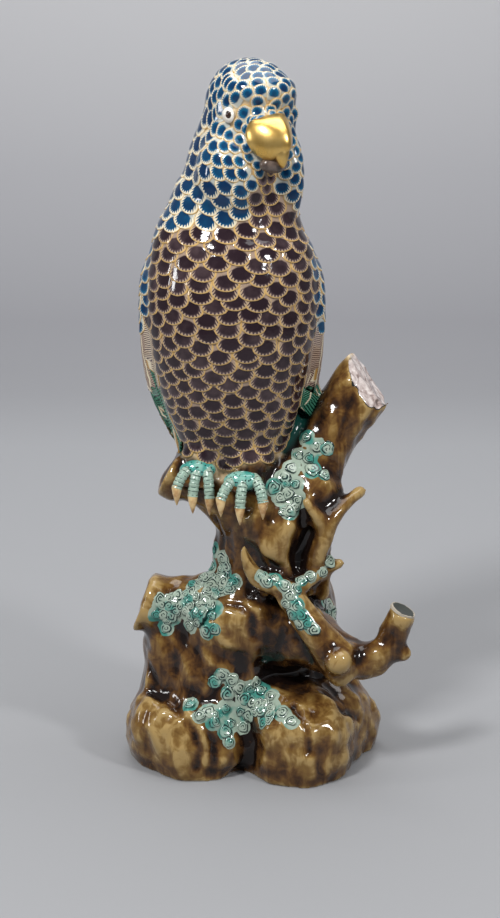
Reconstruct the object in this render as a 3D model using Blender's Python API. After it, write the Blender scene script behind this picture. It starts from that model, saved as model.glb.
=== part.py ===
"""Porcelain parrot on a gnarled tree stump, slip cast in one piece and glazed.

Metres, +Z up. The bird's breast faces -Y and its head is turned towards +X. The origin is on the
table, under the middle of the figure. Places and sizes are written in millimetres, times MM.
"""

import math

import bmesh
import bpy
from mathutils import Matrix, Vector, noise
from mathutils.bvhtree import BVHTree

MM = 0.001

# Skin of the casting: detail that survives the mould, and softness of the joins under the glaze
VOXEL = 1.3 * MM
SOFTENING_PASSES = 16
TRIANGLE_BUDGET = 10400
BARK_RELIEF = 2.2 * MM
BARK_SPACING = 15 * MM

# Rocky base, its recessed foot and its vent hole
BASE_WIDTH = 143 * MM
BASE_DEPTH = 112 * MM
BASE_HEIGHT = 46 * MM
FOOT_RIM = 10 * MM
FOOT_RECESS = 3 * MM
VENT_DIAMETER = 12 * MM
VENT_DEPTH = 26 * MM

# Log across the base, with a broken left end
LOG_HEIGHT = 84 * MM
LOG_RADIUS = 25 * MM
LOG_END_RADIUS = 16 * MM
LOG_REACH = 70 * MM

# Upright trunk, perch and broken top branch
FORK_HEIGHT = 146 * MM
TRUNK_WIDTH = 64 * MM
TRUNK_DEPTH = 58 * MM
PERCH_RADIUS = 13.5 * MM
PERCH_REACH = 55 * MM
PERCH_RISE = 16 * MM
BRANCH_RADIUS = 17 * MM
BRANCH_RISE = 64 * MM
BRANCH_REACH = 47 * MM
CHIP_OFFSET = 4.3 * MM

# Hooked side branch, twigs and knots
HOOK_RADIUS = 9.5 * MM
HOOK_REACH = 71 * MM
HOOK_TOP = 94 * MM
TWIG_RADIUS = 3.8 * MM
KNOT_RADIUS = 7.5 * MM

# Bird: body, neck and head
BODY_HEIGHT = 128 * MM
BODY_WIDTH = 92 * MM
BODY_DEPTH = 86 * MM
NECK_WIDTH = 66 * MM
NECK_HEIGHT = 52 * MM
HEAD_WIDTH = 47 * MM
HEAD_LENGTH = 52 * MM
HEAD_HEIGHT = 40 * MM
HEAD_TURN_DEG = 28
BEAK_WIDTH = 25 * MM
BEAK_HEIGHT = 29 * MM
BEAK_REACH = 15 * MM
BEAK_TOP = 13.5 * MM
BEAK_OFFSET = -4.5 * MM
EYE_DIAMETER = 8.5 * MM

# Bird: wings, tail and feet
WING_WIDTH = 52 * MM
WING_THICKNESS = 10 * MM
TAIL_WIDTH = 34 * MM
TAIL_LENGTH = 118 * MM
TAIL_THICKNESS = 9 * MM
TOE_WIDTH = 6.4 * MM
TOE_LENGTH = 15 * MM
CLAW_LENGTH = 9 * MM


def at(x, y, z):
    """A place in the figure, given in millimetres."""
    return Vector((x, y, z)) * MM


# Places that several pieces share
BIRD_X = -20 * MM
FORK = Vector((6 * MM, -2 * MM, FORK_HEIGHT))
BRANCH_TOP = FORK + Vector((BRANCH_REACH, 7 * MM, BRANCH_RISE))
PERCH_END = Vector((-PERCH_REACH, -8 * MM, FORK_HEIGHT + PERCH_RISE))
PERCH_TOP = FORK_HEIGHT + PERCH_RISE + PERCH_RADIUS - 7 * MM
BODY_BOTTOM = PERCH_TOP - 8 * MM
SHOULDER = BODY_BOTTOM + BODY_HEIGHT
HEAD_BASE = SHOULDER + NECK_HEIGHT
HEAD_X = BIRD_X + 9.5 * MM
TURN = math.radians(HEAD_TURN_DEG)
HEAD_AHEAD = Vector((math.sin(TURN), -math.cos(TURN), 0))
HEAD_LEFT = Vector((math.cos(TURN), math.sin(TURN), 0))


def smooth_line(knots, steps, closed=False):
    """Catmull-Rom values through the knots, which are equally long lists of numbers."""
    if closed:
        line = [knots[-1], *knots, knots[0], knots[1]]
    else:
        before = [2 * a - b for a, b in zip(knots[0], knots[1])]
        after = [2 * a - b for a, b in zip(knots[-1], knots[-2])]
        line = [before, *knots, after]
    values = []
    for i in range(1, len(line) - 2):
        for step in range(steps):
            t = step / steps
            values.append([
                0.5 * (2 * b + (c - a) * t + (2 * a - 5 * b + 4 * c - d) * t**2
                       + (3 * b - a - 3 * c + d) * t**3)
                for a, b, c, d in zip(*line[i - 1:i + 3])
            ])
    if not closed:
        values.append(list(knots[-1]))
    return values


def skin(bm, rings):
    """Closes a stack of equally long rings of points into a solid."""
    rows = [[bm.verts.new(point) for point in ring] for ring in rings]
    for lower, upper in zip(rows, rows[1:]):
        for k in range(len(lower)):
            following = (k + 1) % len(lower)
            bm.faces.new((lower[k], lower[following], upper[following], upper[k]))
    bm.faces.new(reversed(rows[0]))
    bm.faces.new(rows[-1])


def loft(bm, stations, side=(1, 0, 0), end_side=None, ends=(None, None), wrap=None, segments=28):
    """A closed tube through stations of (place, radius across, radius deep).

    The sections' first axis follows side, and swings over to end_side if that is given. An end is
    a dome where its entry in ends is None, and else a broken face whose normal is that entry.
    Sections with a wrap bend round a body of that radius.
    """
    line = smooth_line([[*place, across, deep] for place, across, deep in stations], 6)
    places = [Vector(values[:3]) for values in line]
    radii = [[max(radius, 0.2 * MM) for radius in values[3:]] for values in line]
    last = len(places) - 1
    tangents = [
        (places[min(i + 1, last)] - places[max(i - 1, 0)]).normalized() for i in range(last + 1)
    ]
    sections = [(*section, None) for section in zip(places, tangents, radii)]
    for index, outwards in ((0, -1), (last, 1)):
        place, tangent, (across, deep), _ = sections[0 if index == 0 else -1]
        normal = ends[0 if index == 0 else 1]
        if normal is not None:
            cut = (place, tangent, (across, deep), Vector(normal).normalized())
            sections[0 if index == 0 else -1] = cut
            continue
        for angle in (math.radians(30), math.radians(60), math.radians(80)):
            centre = place + tangent * outwards * min(across, deep) * math.sin(angle)
            shrunk = [across * math.cos(angle), deep * math.cos(angle)]
            dome = (centre, tangent, shrunk, None)
            sections.insert(0 if index == 0 else len(sections), dome)
    rings = []
    for number, (place, tangent, (across, deep), normal) in enumerate(sections):
        first = Vector(side).lerp(Vector(end_side or side), number / (len(sections) - 1))
        first = (first - tangent * first.dot(tangent)).normalized()
        second = tangent.cross(first)
        ring = []
        for k in range(segments):
            angle = 2 * math.pi * k / segments
            offset = first * across * math.cos(angle) + second * deep * math.sin(angle)
            if wrap:
                offset -= first * (deep * math.sin(angle)) ** 2 / (2 * wrap)
            if normal is not None:
                offset -= tangent * offset.dot(normal) / tangent.dot(normal)
            ring.append(place + offset)
        rings.append(ring)
    skin(bm, rings)


def ball(bm, centre, radii, turn_deg=0, tilt_deg=0):
    """An ellipsoid, tilted about its own X and then turned about Z."""
    matrix = (
        Matrix.Translation(centre)
        @ Matrix.Rotation(math.radians(turn_deg), 4, "Z")
        @ Matrix.Rotation(math.radians(tilt_deg), 4, "X")
        @ Matrix.Diagonal((*radii, 1))
    )
    bmesh.ops.create_icosphere(bm, subdivisions=4, radius=1, matrix=matrix)


def head_place(forward, sideways, height):
    """A place in the turned head: forward to the beak, sideways to the bird's left, and high."""
    axis = Vector((HEAD_X, -5 * MM, HEAD_BASE))
    return axis + HEAD_AHEAD * forward + HEAD_LEFT * sideways + Vector((0, 0, height))


BASE_PLAN = (
    # shares of half the width and depth: lobes at the front left, front right and back
    (-1.00, -0.05), (-0.93, -0.42), (-0.66, -0.80), (-0.34, -0.90), (-0.10, -0.66),
    (0.14, -0.92), (0.42, -1.04), (0.70, -0.82), (0.82, -0.40), (1.00, 0.02),
    (0.84, 0.46), (0.54, 0.78), (0.14, 0.80), (-0.20, 0.98), (-0.62, 0.84), (-0.82, 0.44),
)


def base_outline(scale, inset=0):
    """The base's plan at a scale about its middle, less an inset."""
    middle = Vector((-9 * MM, -2 * MM))
    outline = []
    for across, deep in smooth_line([list(point) for point in BASE_PLAN], 4, closed=True):
        point = Vector((across * BASE_WIDTH / 2, deep * BASE_DEPTH / 2)) * scale
        point -= point.normalized() * inset
        outline.append(point + middle)
    return outline


def add_base(bm):
    """Rock that swells just above the table and slopes in to the log."""
    profile = (
        # share of height, scale of the plan
        (-0.20, 0.93), (0.00, 0.96), (0.20, 1.00), (0.44, 0.99), (0.68, 0.91), (0.88, 0.76),
        (1.02, 0.52),
    )
    skin(bm, [
        [Vector((*point, share * BASE_HEIGHT)) for point in base_outline(scale)]
        for share, scale in smooth_line([list(level) for level in profile], 4)
    ])
    ball(bm, Vector((18 * MM, -32 * MM, BASE_HEIGHT * 0.52)), (29 * MM, 27 * MM, 21 * MM))
    ball(bm, Vector((-54 * MM, -20 * MM, BASE_HEIGHT * 0.5)), (23 * MM, 26 * MM, 19 * MM))
    ball(bm, Vector((-32 * MM, -34 * MM, BASE_HEIGHT * 0.3)), (20 * MM, 17 * MM, 17 * MM))
    ball(bm, Vector((34 * MM, -2 * MM, BASE_HEIGHT * 0.5)), (21 * MM, 36 * MM, 22 * MM))


def add_log(bm):
    """The log from its broken left end to the knot that carries the hook, and the root below."""
    height = LOG_HEIGHT / MM
    loft(bm, [
        (at(-LOG_REACH / MM, -5, height + 2), LOG_END_RADIUS, LOG_END_RADIUS),
        (at(-50, -4, height + 2), LOG_END_RADIUS * 1.05, LOG_END_RADIUS * 1.05),
        (at(-26, -9, height - 2), LOG_RADIUS * 0.9, LOG_RADIUS * 0.98),
        (at(2, -13, height - 6), LOG_RADIUS, LOG_RADIUS * 1.02),
        (at(24, -26, height - 12), LOG_RADIUS * 0.68, LOG_RADIUS * 0.66),
        (at(38, -37, height - 17), LOG_RADIUS * 0.5, LOG_RADIUS * 0.5),
    ], side=(0, 1, 0), ends=((-0.93, 0.07, 0.36), None))
    ball(bm, at(-15, -24, height - 4), (26 * MM, 15 * MM, 21 * MM))
    loft(bm, [
        (at(-50, 2, 20), 24 * MM, 32 * MM),
        (at(-51, 2, 44), 20 * MM, 27 * MM),
        (Vector((-50 * MM, 0, LOG_HEIGHT - 12 * MM)), 18.5 * MM, 21 * MM),
        (Vector((-45 * MM, 0, LOG_HEIGHT)), 15 * MM, 17 * MM),
    ])
    loft(bm, [
        (at(-30, -8, 24), 32 * MM, 34 * MM),
        (at(-26, -8, 48), 30 * MM, 30 * MM),
        (Vector((-20 * MM, -8 * MM, LOG_HEIGHT - 8 * MM)), 27 * MM, 26 * MM),
    ])


def add_trunk(bm):
    """The upright trunk, the root down its right side, and the burrs under the bird."""
    half_width, half_depth = TRUNK_WIDTH / 2, TRUNK_DEPTH / 2
    loft(bm, [
        (at(-2, 10, 20), half_width * 1.3, half_depth * 1.1),
        (at(0, 8, 56), half_width * 1.1, half_depth * 0.98),
        (at(1, 2, 92), half_width * 1.04, half_depth),
        (at(1, 0, 114), half_width * 0.98, half_depth * 0.96),
        (FORK, half_width * 1.02, half_depth * 0.96),
    ])
    loft(bm, [
        (at(26, 16, 20), 17 * MM, 22 * MM),
        (at(28, 14, 62), 12.5 * MM, 17 * MM),
        (at(26, 10, 96), 10.5 * MM, 14 * MM),
        (at(20, 6, 118), 11 * MM, 14 * MM),
    ])
    ball(bm, FORK + at(-9, -15, -8), (17 * MM, 18 * MM, 20 * MM))
    ball(bm, FORK + at(14, -10, 4), (20 * MM, 17 * MM, 21 * MM))
    loft(bm, [
        (FORK + at(2, -24, 0), 8 * MM, 7 * MM),
        (FORK + at(-3, -30, -13), 9.5 * MM, 8.5 * MM),
        (FORK + at(-1, -28, -27), 6.5 * MM, 6.5 * MM),
        (FORK + at(4, -24, -40), 7 * MM, 7 * MM),
    ])
    loft(bm, [
        (FORK + at(15, -23, 8), 6 * MM, 7 * MM),
        (FORK + at(20, -23, -8), 6.5 * MM, 7 * MM),
        (FORK + at(21, -22, -26), 6 * MM, 7 * MM),
        (FORK + at(14, -22, -42), 7 * MM, 7 * MM),
    ])


def add_perch(bm):
    """The branch stump that the feet hold, broken off at its left end."""
    loft(bm, [
        (PERCH_END, PERCH_RADIUS * 0.98, PERCH_RADIUS),
        (PERCH_END.lerp(FORK, 0.3) + at(0, 0, -1), PERCH_RADIUS * 1.08, PERCH_RADIUS * 1.2),
        (PERCH_END.lerp(FORK, 0.6) + at(0, 0, -5), PERCH_RADIUS * 1.5, PERCH_RADIUS * 1.5),
        (FORK + at(-4, 0, -12), PERCH_RADIUS * 1.9, PERCH_RADIUS * 1.9),
    ], side=(0, 0, 1), ends=((-0.88, 0.085, 0.46), None))


def add_top_branch(bm):
    """The broken branch that leans out behind the bird's left side, and the stub behind it."""
    loft(bm, [
        (FORK + at(2, 2, -12), BRANCH_RADIUS * 1.6, BRANCH_RADIUS * 1.4),
        (FORK.lerp(BRANCH_TOP, 0.28) + at(3, 0, 0), BRANCH_RADIUS * 1.22, BRANCH_RADIUS * 1.12),
        (FORK.lerp(BRANCH_TOP, 0.62) + at(0, 0, -1), BRANCH_RADIUS * 0.97, BRANCH_RADIUS),
        (BRANCH_TOP, BRANCH_RADIUS * 1.04, BRANCH_RADIUS * 0.94),
    ], ends=(None, (0.84, -0.12, 0.54)))
    loft(bm, [
        (FORK + at(10, 14, -10), 14 * MM, 14 * MM),
        (FORK + at(15, 28, 22), 10.5 * MM, 10.5 * MM),
        (FORK + at(16, 35, 42), 9.5 * MM, 9.5 * MM),
    ], ends=(None, (0.3, 0.3, 1)))


def add_hook(bm):
    """The hooked branch at the front right: out from the knot, then up to a broken end."""
    height = LOG_HEIGHT / MM
    loft(bm, [
        (at(34, -34, height - 17), HOOK_RADIUS * 1.3, HOOK_RADIUS * 1.3),
        (at(50, -38, height - 19), HOOK_RADIUS * 1.05, HOOK_RADIUS * 1.15),
        (at(62, -38, height - 13), HOOK_RADIUS, HOOK_RADIUS),
        (at(67, -38, height - 2), HOOK_RADIUS * 0.82, HOOK_RADIUS * 0.82),
        (Vector((HOOK_REACH, -38 * MM, HOOK_TOP)), HOOK_RADIUS * 0.84, HOOK_RADIUS * 0.84),
    ], side=(0, 1, 0), ends=(None, (0.42, -0.1, 0.9)), segments=20)
    ball(bm, at(70, -39, height - 15), (7.5 * MM, 7.5 * MM, 6.5 * MM))
    ball(bm, at(37, -42, height - 18), (12 * MM, 12 * MM, 13.5 * MM))


def add_broken_ends(bm):
    """Crisp rims of the broken faces, which the softening of the whole skin would round off."""
    hook = Vector((HOOK_REACH, -38 * MM, HOOK_TOP))
    log = Vector((-LOG_REACH, -5 * MM, LOG_HEIGHT + 2 * MM))
    ends = (
        (PERCH_END, (-0.96, -0.1, 0.24), PERCH_RADIUS, (-0.88, 0.085, 0.46)),
        (BRANCH_TOP, (0.5, 0.07, 0.86), BRANCH_RADIUS, (0.84, -0.12, 0.54)),
        (hook, (0.32, 0, 0.95), HOOK_RADIUS * 0.84, (0.42, -0.1, 0.9)),
        (log, (-1, -0.05, 0), LOG_END_RADIUS * 0.9, (-0.93, 0.07, 0.36)),
    )
    for place, direction, radius, normal in ends:
        inner = place - Vector(direction).normalized() * radius * 0.8
        loft(bm, [(inner, radius * 0.8, radius * 0.8), (place, radius, radius)],
             side=(0, 1, 0), ends=(None, normal))
    ball(bm, at(36, -53, LOG_HEIGHT / MM - 13), (KNOT_RADIUS, KNOT_RADIUS, KNOT_RADIUS))


def add_twigs(bm):
    """Thin branches over the trunk's front, the thickest of which runs down to the knot."""
    tip, stem = TWIG_RADIUS * 0.75, TWIG_RADIUS * 1.25
    height = LOG_HEIGHT / MM
    routes = (
        ((at(23, -27, 112), stem * 1.3), (at(27, -30, 126), stem * 1.2), (at(31, -29, 139), stem * 1.15),
         (at(39, -23, 147), stem * 1.05), (at(49, -14, 153), tip * 1.25)),
        ((at(29, -29, 134), stem), (at(25, -32, 144), stem), (at(19.5, -33, 152), tip * 1.1)),
        ((at(-2, -30, 104), stem * 1.3), (at(-9, -35, 114), stem), (at(-14, -36, 128), tip)),
        ((at(12, -36, 104), stem * 1.2), (at(23, -31, 110), stem), (at(37, -26, 116), tip * 1.2)),
        ((at(-8, -34, 110), stem), (at(6, -38, 107), stem * 1.5), (at(15, -41, 96), stem * 1.7),
         (at(24, -44, 84), stem * 1.9), (at(35, -44, height - 14), stem * 2.3)),
        ((at(28, -22, 98), stem), (at(30, -27, 111), TWIG_RADIUS), (at(31, -25, 128), tip)),
    )
    for route in routes:
        loft(bm, [(place, radius, radius) for place, radius in route],
             side=(0, -1, 0), segments=14)


def add_body(bm):
    """Egg-shaped body as horizontal sections, and the thighs under it."""
    half_width, half_depth = BODY_WIDTH / 2, BODY_DEPTH / 2
    shape = (
        # share of height, share of half width, share of half depth, lean and shift in x
        (0.00, 0.34, 0.30, -5, 4), (0.07, 0.52, 0.46, -3, 2), (0.14, 0.65, 0.60, -2, 1.5),
        (0.25, 0.78, 0.76, -1, 1), (0.42, 0.90, 0.90, -1, 0), (0.60, 0.98, 0.98, -2, 0),
        (0.77, 1.00, 1.00, -2, 0), (0.90, 0.97, 0.95, -1, 0), (1.00, 0.90, 0.87, 0, 0),
        (1.08, 0.79, 0.77, 0, 1),
    )
    loft(bm, [
        (Vector((BIRD_X + shift * MM, lean * MM, BODY_BOTTOM + share * BODY_HEIGHT)),
         wide * half_width, deep * half_depth)
        for share, wide, deep, lean, shift in shape
    ], segments=40)
    ball(bm, Vector((BIRD_X, 0, BODY_BOTTOM)) + at(-13, -12, 14), (13 * MM, 13 * MM, 14 * MM))
    ball(bm, Vector((BIRD_X, 0, BODY_BOTTOM)) + at(9, -15, 11), (15 * MM, 14 * MM, 17 * MM))


def add_head(bm):
    """Neck and skull as sections turned towards the beak, with a hollow throat between cheeks."""
    half_neck, half_head, half_long = NECK_WIDTH / 2, HEAD_WIDTH / 2, HEAD_LENGTH / 2
    base = Vector((BIRD_X, 0, SHOULDER))
    loft(bm, [
        (base + at(0, 0, -8), half_neck * 1.15, half_neck * 1.06),
        (base + at(1, 0, NECK_HEIGHT * 0.2 / MM), half_neck * 1.04, half_neck),
        (base + at(3.5, 1, NECK_HEIGHT * 0.45 / MM), half_neck * 0.95, half_neck * 0.93),
        (base + at(5, 0, NECK_HEIGHT * 0.75 / MM), half_neck * 0.86, half_neck * 0.87),
        (base + at(7.5, -3, NECK_HEIGHT / MM), half_head * 1.08, half_long * 1.02),
        (head_place(0, 0, HEAD_HEIGHT * 0.28), half_head, half_long * 0.98),
        (head_place(0, 0, HEAD_HEIGHT * 0.52), half_head * 0.97, half_long * 0.94),
        (head_place(0, 0, HEAD_HEIGHT * 0.74), half_head * 0.81, half_long * 0.80),
        (head_place(0, 0, HEAD_HEIGHT * 0.90), half_head * 0.55, half_long * 0.58),
        (head_place(0, 0, HEAD_HEIGHT * 0.98), half_head * 0.25, half_long * 0.28),
        (head_place(0, 0, HEAD_HEIGHT), half_head * 0.05, half_long * 0.06),
    ], side=HEAD_LEFT, segments=36, ends=((0, 0, 1), (0, 0, 1)))
    low = -NECK_HEIGHT * 0.28
    near, far = low - 4 * MM, low - 5 * MM
    ball(bm, head_place(8 * MM, -13 * MM, near), (21 * MM, 19.5 * MM, 26 * MM), HEAD_TURN_DEG)
    ball(bm, head_place(14 * MM, 13 * MM, far), (9.5 * MM, 13 * MM, 26 * MM), HEAD_TURN_DEG)
    brow = (half_head * 0.9, half_long * 0.82, HEAD_HEIGHT * 0.32)
    ball(bm, head_place(7 * MM, 0, HEAD_HEIGHT * 0.56), brow, HEAD_TURN_DEG)


def add_beak(bm):
    """Hooked upper beak whose tip curls back, and the short lower one under it."""
    root = HEAD_LENGTH / 2 - 4 * MM
    shape = (
        # share of reach and height along the hook, share of half width, share of reach as depth
        (-0.50, 0.10, 0.62, 0.42), (0.07, 0.25, 0.92, 0.58), (0.44, 0.48, 0.98, 0.54),
        (0.66, 0.70, 0.62, 0.36), (0.74, 0.86, 0.34, 0.23), (0.74, 1.00, 0.15, 0.12),
    )
    stations = []
    for i, (out, down, wide, deep) in enumerate(shape):
        sideways = BEAK_OFFSET * (1 - i / (len(shape) - 1))
        place = head_place(root + out * BEAK_REACH, sideways, BEAK_TOP - down * BEAK_HEIGHT)
        stations.append((place, wide * BEAK_WIDTH / 2, deep * BEAK_REACH))
    loft(bm, stations, side=HEAD_LEFT, segments=24)
    chin = head_place(root + 1 * MM, BEAK_OFFSET - 1 * MM, BEAK_TOP - BEAK_HEIGHT * 0.84)
    ball(bm, chin, (BEAK_WIDTH * 0.26, 6 * MM, 4.5 * MM), HEAD_TURN_DEG)


def add_eyes(bm):
    """A low round eye on each side of the head."""
    radius = EYE_DIAMETER / 2
    for side in (-1, 1):
        place = head_place(HEAD_LENGTH * 0.27, side * HEAD_WIDTH * 0.40, HEAD_HEIGHT * 0.3)
        ball(bm, place, (radius * 0.6, radius, radius), HEAD_TURN_DEG - side * 25)


def add_wings(bm):
    """Folded wings: flat lofts that wrap round the flanks and close over the tail."""
    half_width, half_thickness = WING_WIDTH / 2, WING_THICKNESS / 2
    shape = (
        # share of body height, angle behind the flank, share of body radius, of width, of thickness
        (0.98, 12, 0.78, 0.36, 0.8), (0.84, 16, 0.94, 0.76, 1.0), (0.62, 26, 0.93, 0.98, 1.0),
        (0.40, 37, 0.83, 0.98, 1.0), (0.20, 50, 0.72, 0.80, 0.9), (0.02, 62, 0.68, 0.56, 0.8),
        (-0.18, 76, 0.74, 0.32, 0.7),
    )
    for side in (-1, 1):
        stations = []
        for share, angle_deg, radius, wide, thick in shape:
            angle = math.radians(angle_deg)
            place = Vector((BIRD_X, 0, BODY_BOTTOM + share * BODY_HEIGHT))
            place.x += side * math.cos(angle) * radius * BODY_WIDTH / 2
            place.y += math.sin(angle) * radius * BODY_DEPTH / 2
            stations.append((place, thick * half_thickness, wide * half_width))
        first, last = math.radians(shape[0][1]), math.radians(shape[-1][1] + 14)
        loft(bm, stations, side=(side * math.cos(first), math.sin(first), 0),
             end_side=(side * math.cos(last), math.sin(last), 0), wrap=BODY_WIDTH * 0.55,
             segments=32)


def add_tail(bm):
    """Long flat tail that lies against the back of the trunk."""
    half_width, half_thickness = TAIL_WIDTH / 2, TAIL_THICKNESS / 2
    root = Vector((BIRD_X, BODY_DEPTH * 0.34, BODY_BOTTOM + 26 * MM))
    tip = Vector((-8 * MM, TRUNK_DEPTH / 2 + 2 * MM, BODY_BOTTOM + 26 * MM - TAIL_LENGTH))
    loft(bm, [
        (root, half_width * 1.1, half_thickness * 1.8),
        (root.lerp(tip, 0.3) + at(0, 2, 0), half_width, half_thickness * 1.3),
        (root.lerp(tip, 0.65), half_width * 0.85, half_thickness),
        (tip, half_width * 0.45, half_thickness * 0.8),
    ], segments=24)


def foot_places(side):
    """The ankle, and for each front toe its knuckle and its tip, of the left (-1) or right foot."""
    across = -15 if side < 0 else 8.4
    spreads = (-13.5, -5.5, 3) if side < 0 else (-13.5, -4, 7.5)
    ankle = Vector((BIRD_X, 0, PERCH_TOP)) + at(across, -20 - side * 4, -1 - side * 2)
    toes = []
    for spread, drop in zip(spreads, (4.5, 0, 1 + side * 2)):
        knuckle = ankle + at(spread * 0.76, -10, -4)
        tip = ankle + at(spread * 1.04, -13, drop) + Vector((0, 0, -TOE_LENGTH))
        toes.append((knuckle, tip))
    return ankle, toes


def add_feet(bm):
    """Short legs, and three front toes on each foot that hang over the perch and end in claws."""
    radius = TOE_WIDTH / 2
    for side in (-1, 1):
        ankle, toes = foot_places(side)
        loft(bm, [
            (ankle + at(0, 6, 8), radius * 2.2, radius * 2),
            (ankle, radius * 2, radius * 1.6),
            (ankle + at(0, -4, -3), radius * 2.8, radius * 1.5),
        ], segments=16)
        for knuckle, tip in toes:
            claw = tip + Vector((0, -0.5 * MM, -CLAW_LENGTH))
            loft(bm, [
                (ankle + at(0, -2, -2), radius, radius),
                (knuckle, radius, radius),
                (knuckle.lerp(tip, 0.5) + at(0, -0.8, 0), radius * 1.05, radius * 1.05),
                (tip, radius * 0.95, radius * 0.95),
            ], segments=14)
            loft(bm, [
                (tip, radius * 0.85, radius * 0.85),
                (tip.lerp(claw, 0.5), radius * 0.62, radius * 0.62),
                (claw, radius * 0.2, radius * 0.2),
            ], segments=12)


STUMP = (add_base, add_log, add_trunk, add_perch, add_top_branch, add_hook)
BIRD = (add_body, add_head, add_wings, add_tail)
TRIM = (add_broken_ends, add_twigs, add_beak, add_eyes, add_feet)

# Fields of glaze: name, colour, roughness, metallic, and the pieces that wear it
FIELDS = (
    ("brown_glaze", (0.16, 0.085, 0.03), 0.12, 0.0, STUMP + (add_broken_ends, add_twigs)),
    ("aubergine_feathers", (0.13, 0.07, 0.09), 0.15, 0.0, (add_body,)),
    ("blue_feathers", (0.03, 0.16, 0.34), 0.15, 0.0, (add_head, add_wings, add_tail)),
    ("gilding", (0.80, 0.52, 0.16), 0.25, 1.0, (add_beak,)),
    ("eye_white", (0.80, 0.78, 0.72), 0.10, 0.0, (add_eyes,)),
    ("turquoise_skin", (0.20, 0.56, 0.47), 0.15, 0.0, (add_feet,)),
)


def pieces_mesh(builders):
    """One bmesh that holds the pieces of several builders."""
    bm = bmesh.new()
    for build in builders:
        build(bm)
    bmesh.ops.recalc_face_normals(bm, faces=bm.faces)
    return bm


def figure_object(name, bm):
    mesh = bpy.data.meshes.new(name)
    bm.to_mesh(mesh)
    bm.free()
    obj = bpy.data.objects.new(name, mesh)
    bpy.context.scene.collection.objects.link(obj)
    return obj


def bake(obj):
    """Replaces the object's mesh with what its modifiers make, and drops them."""
    graph = bpy.context.evaluated_depsgraph_get()
    mesh = bpy.data.meshes.new_from_object(obj.evaluated_get(graph))
    obj.modifiers.clear()
    obj.data = mesh


def fuse(obj, softening):
    """Melts overlapping pieces into one skin and softens the joins, as the slip and glaze do."""
    remesh = obj.modifiers.new("fuse", "REMESH")
    remesh.mode = "VOXEL"
    remesh.voxel_size = VOXEL
    smooth = obj.modifiers.new("soften", "SMOOTH")
    smooth.factor = 0.5
    smooth.iterations = softening
    bake(obj)


def gnarl(obj):
    """Raises knotty ridges along the stump's grain, and leaves the bird smooth."""
    stump = BVHTree.FromBMesh(pieces_mesh(STUMP))
    bird = BVHTree.FromBMesh(pieces_mesh(BIRD))
    normals = [vertex.normal.copy() for vertex in obj.data.vertices]
    for vertex, normal in zip(obj.data.vertices, normals):
        clear = bird.find_nearest(vertex.co)[3] - stump.find_nearest(vertex.co)[3]
        share = min(max(clear / (4 * MM), 0.0), 1.0)
        place = vertex.co / BARK_SPACING
        ridge = noise.noise(Vector((place.x * 1.3, place.y * 1.3, place.z * 0.55)))
        vertex.co += normal * BARK_RELIEF * share * (ridge + 0.5 * noise.noise(place * 2.1))


def lighten(obj, triangles):
    """Brings the skin down to the number of triangles that it needs."""
    obj.data.calc_loop_triangles()
    decimate = obj.modifiers.new("lighten", "DECIMATE")
    decimate.ratio = min(1.0, triangles / len(obj.data.loop_triangles))
    bake(obj)


def cut(obj, cutters):
    """Takes each cutter, a bmesh under its name, out of the object."""
    for name, bm in cutters.items():
        boolean = obj.modifiers.new(name, "BOOLEAN")
        boolean.operation = "DIFFERENCE"
        boolean.object = figure_object(name, bm)
    bake(obj)
    for name in cutters:
        bpy.data.objects.remove(bpy.data.objects[name])


def grind_foot(obj):
    """Flattens the underside on the table, recesses it inside a rim, and drills the vent."""
    slab, recess, vent = bmesh.new(), bmesh.new(), bmesh.new()
    depth = 60 * MM
    bmesh.ops.create_cube(slab, size=1, matrix=Matrix.Translation((0, 0, -depth / 2))
                          @ Matrix.Diagonal((0.4, 0.4, depth, 1)))
    outline = base_outline(0.95, inset=FOOT_RIM)
    skin(recess, [[Vector((*point, z)) for point in outline[::2]] for z in (-1 * MM, FOOT_RECESS)])
    bmesh.ops.create_cone(vent, cap_ends=True, segments=24, radius1=VENT_DIAMETER / 2,
                          radius2=VENT_DIAMETER / 2, depth=2 * VENT_DEPTH)
    cut(obj, {"table_plane": slab, "foot_recess": recess, "vent_hole": vent})


def chip_branch(obj):
    """Breaks a second facet from the near side of the top branch's broken end."""
    chip = bmesh.new()
    facing = Vector((0.56, -0.63, 0.53)).normalized()
    size = 2.4 * BRANCH_RADIUS
    middle = BRANCH_TOP + facing * (CHIP_OFFSET + size / 4)
    bmesh.ops.create_cube(chip, size=1, matrix=Matrix.Translation(middle)
                          @ facing.to_track_quat("Z", "Y").to_matrix().to_4x4()
                          @ Matrix.Diagonal((size, size, size / 2, 1)))
    cut(obj, {"branch_chip": chip})


def centre(obj):
    """Puts the origin on the table, under the middle of the figure."""
    places = [vertex.co for vertex in obj.data.vertices]
    middle = [(min(place[i] for place in places) + max(place[i] for place in places)) / 2
              for i in (0, 1)]
    obj.data.transform(Matrix.Translation((-middle[0], -middle[1], 0)))


def paint(obj):
    """Gives each face the glaze of the piece that it lies on."""
    trees = []
    for name, colour, roughness, metallic, builders in FIELDS:
        material = bpy.data.materials.new(name)
        material.use_nodes = True
        shader = material.node_tree.nodes["Principled BSDF"]
        shader.inputs["Base Color"].default_value = (*colour, 1)
        shader.inputs["Roughness"].default_value = roughness
        shader.inputs["Metallic"].default_value = metallic
        obj.data.materials.append(material)
        trees.append(BVHTree.FromBMesh(pieces_mesh(builders)))
    for face in obj.data.polygons:
        distances = [tree.find_nearest(face.center)[3] for tree in trees]
        face.material_index = distances.index(min(distances))


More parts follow.
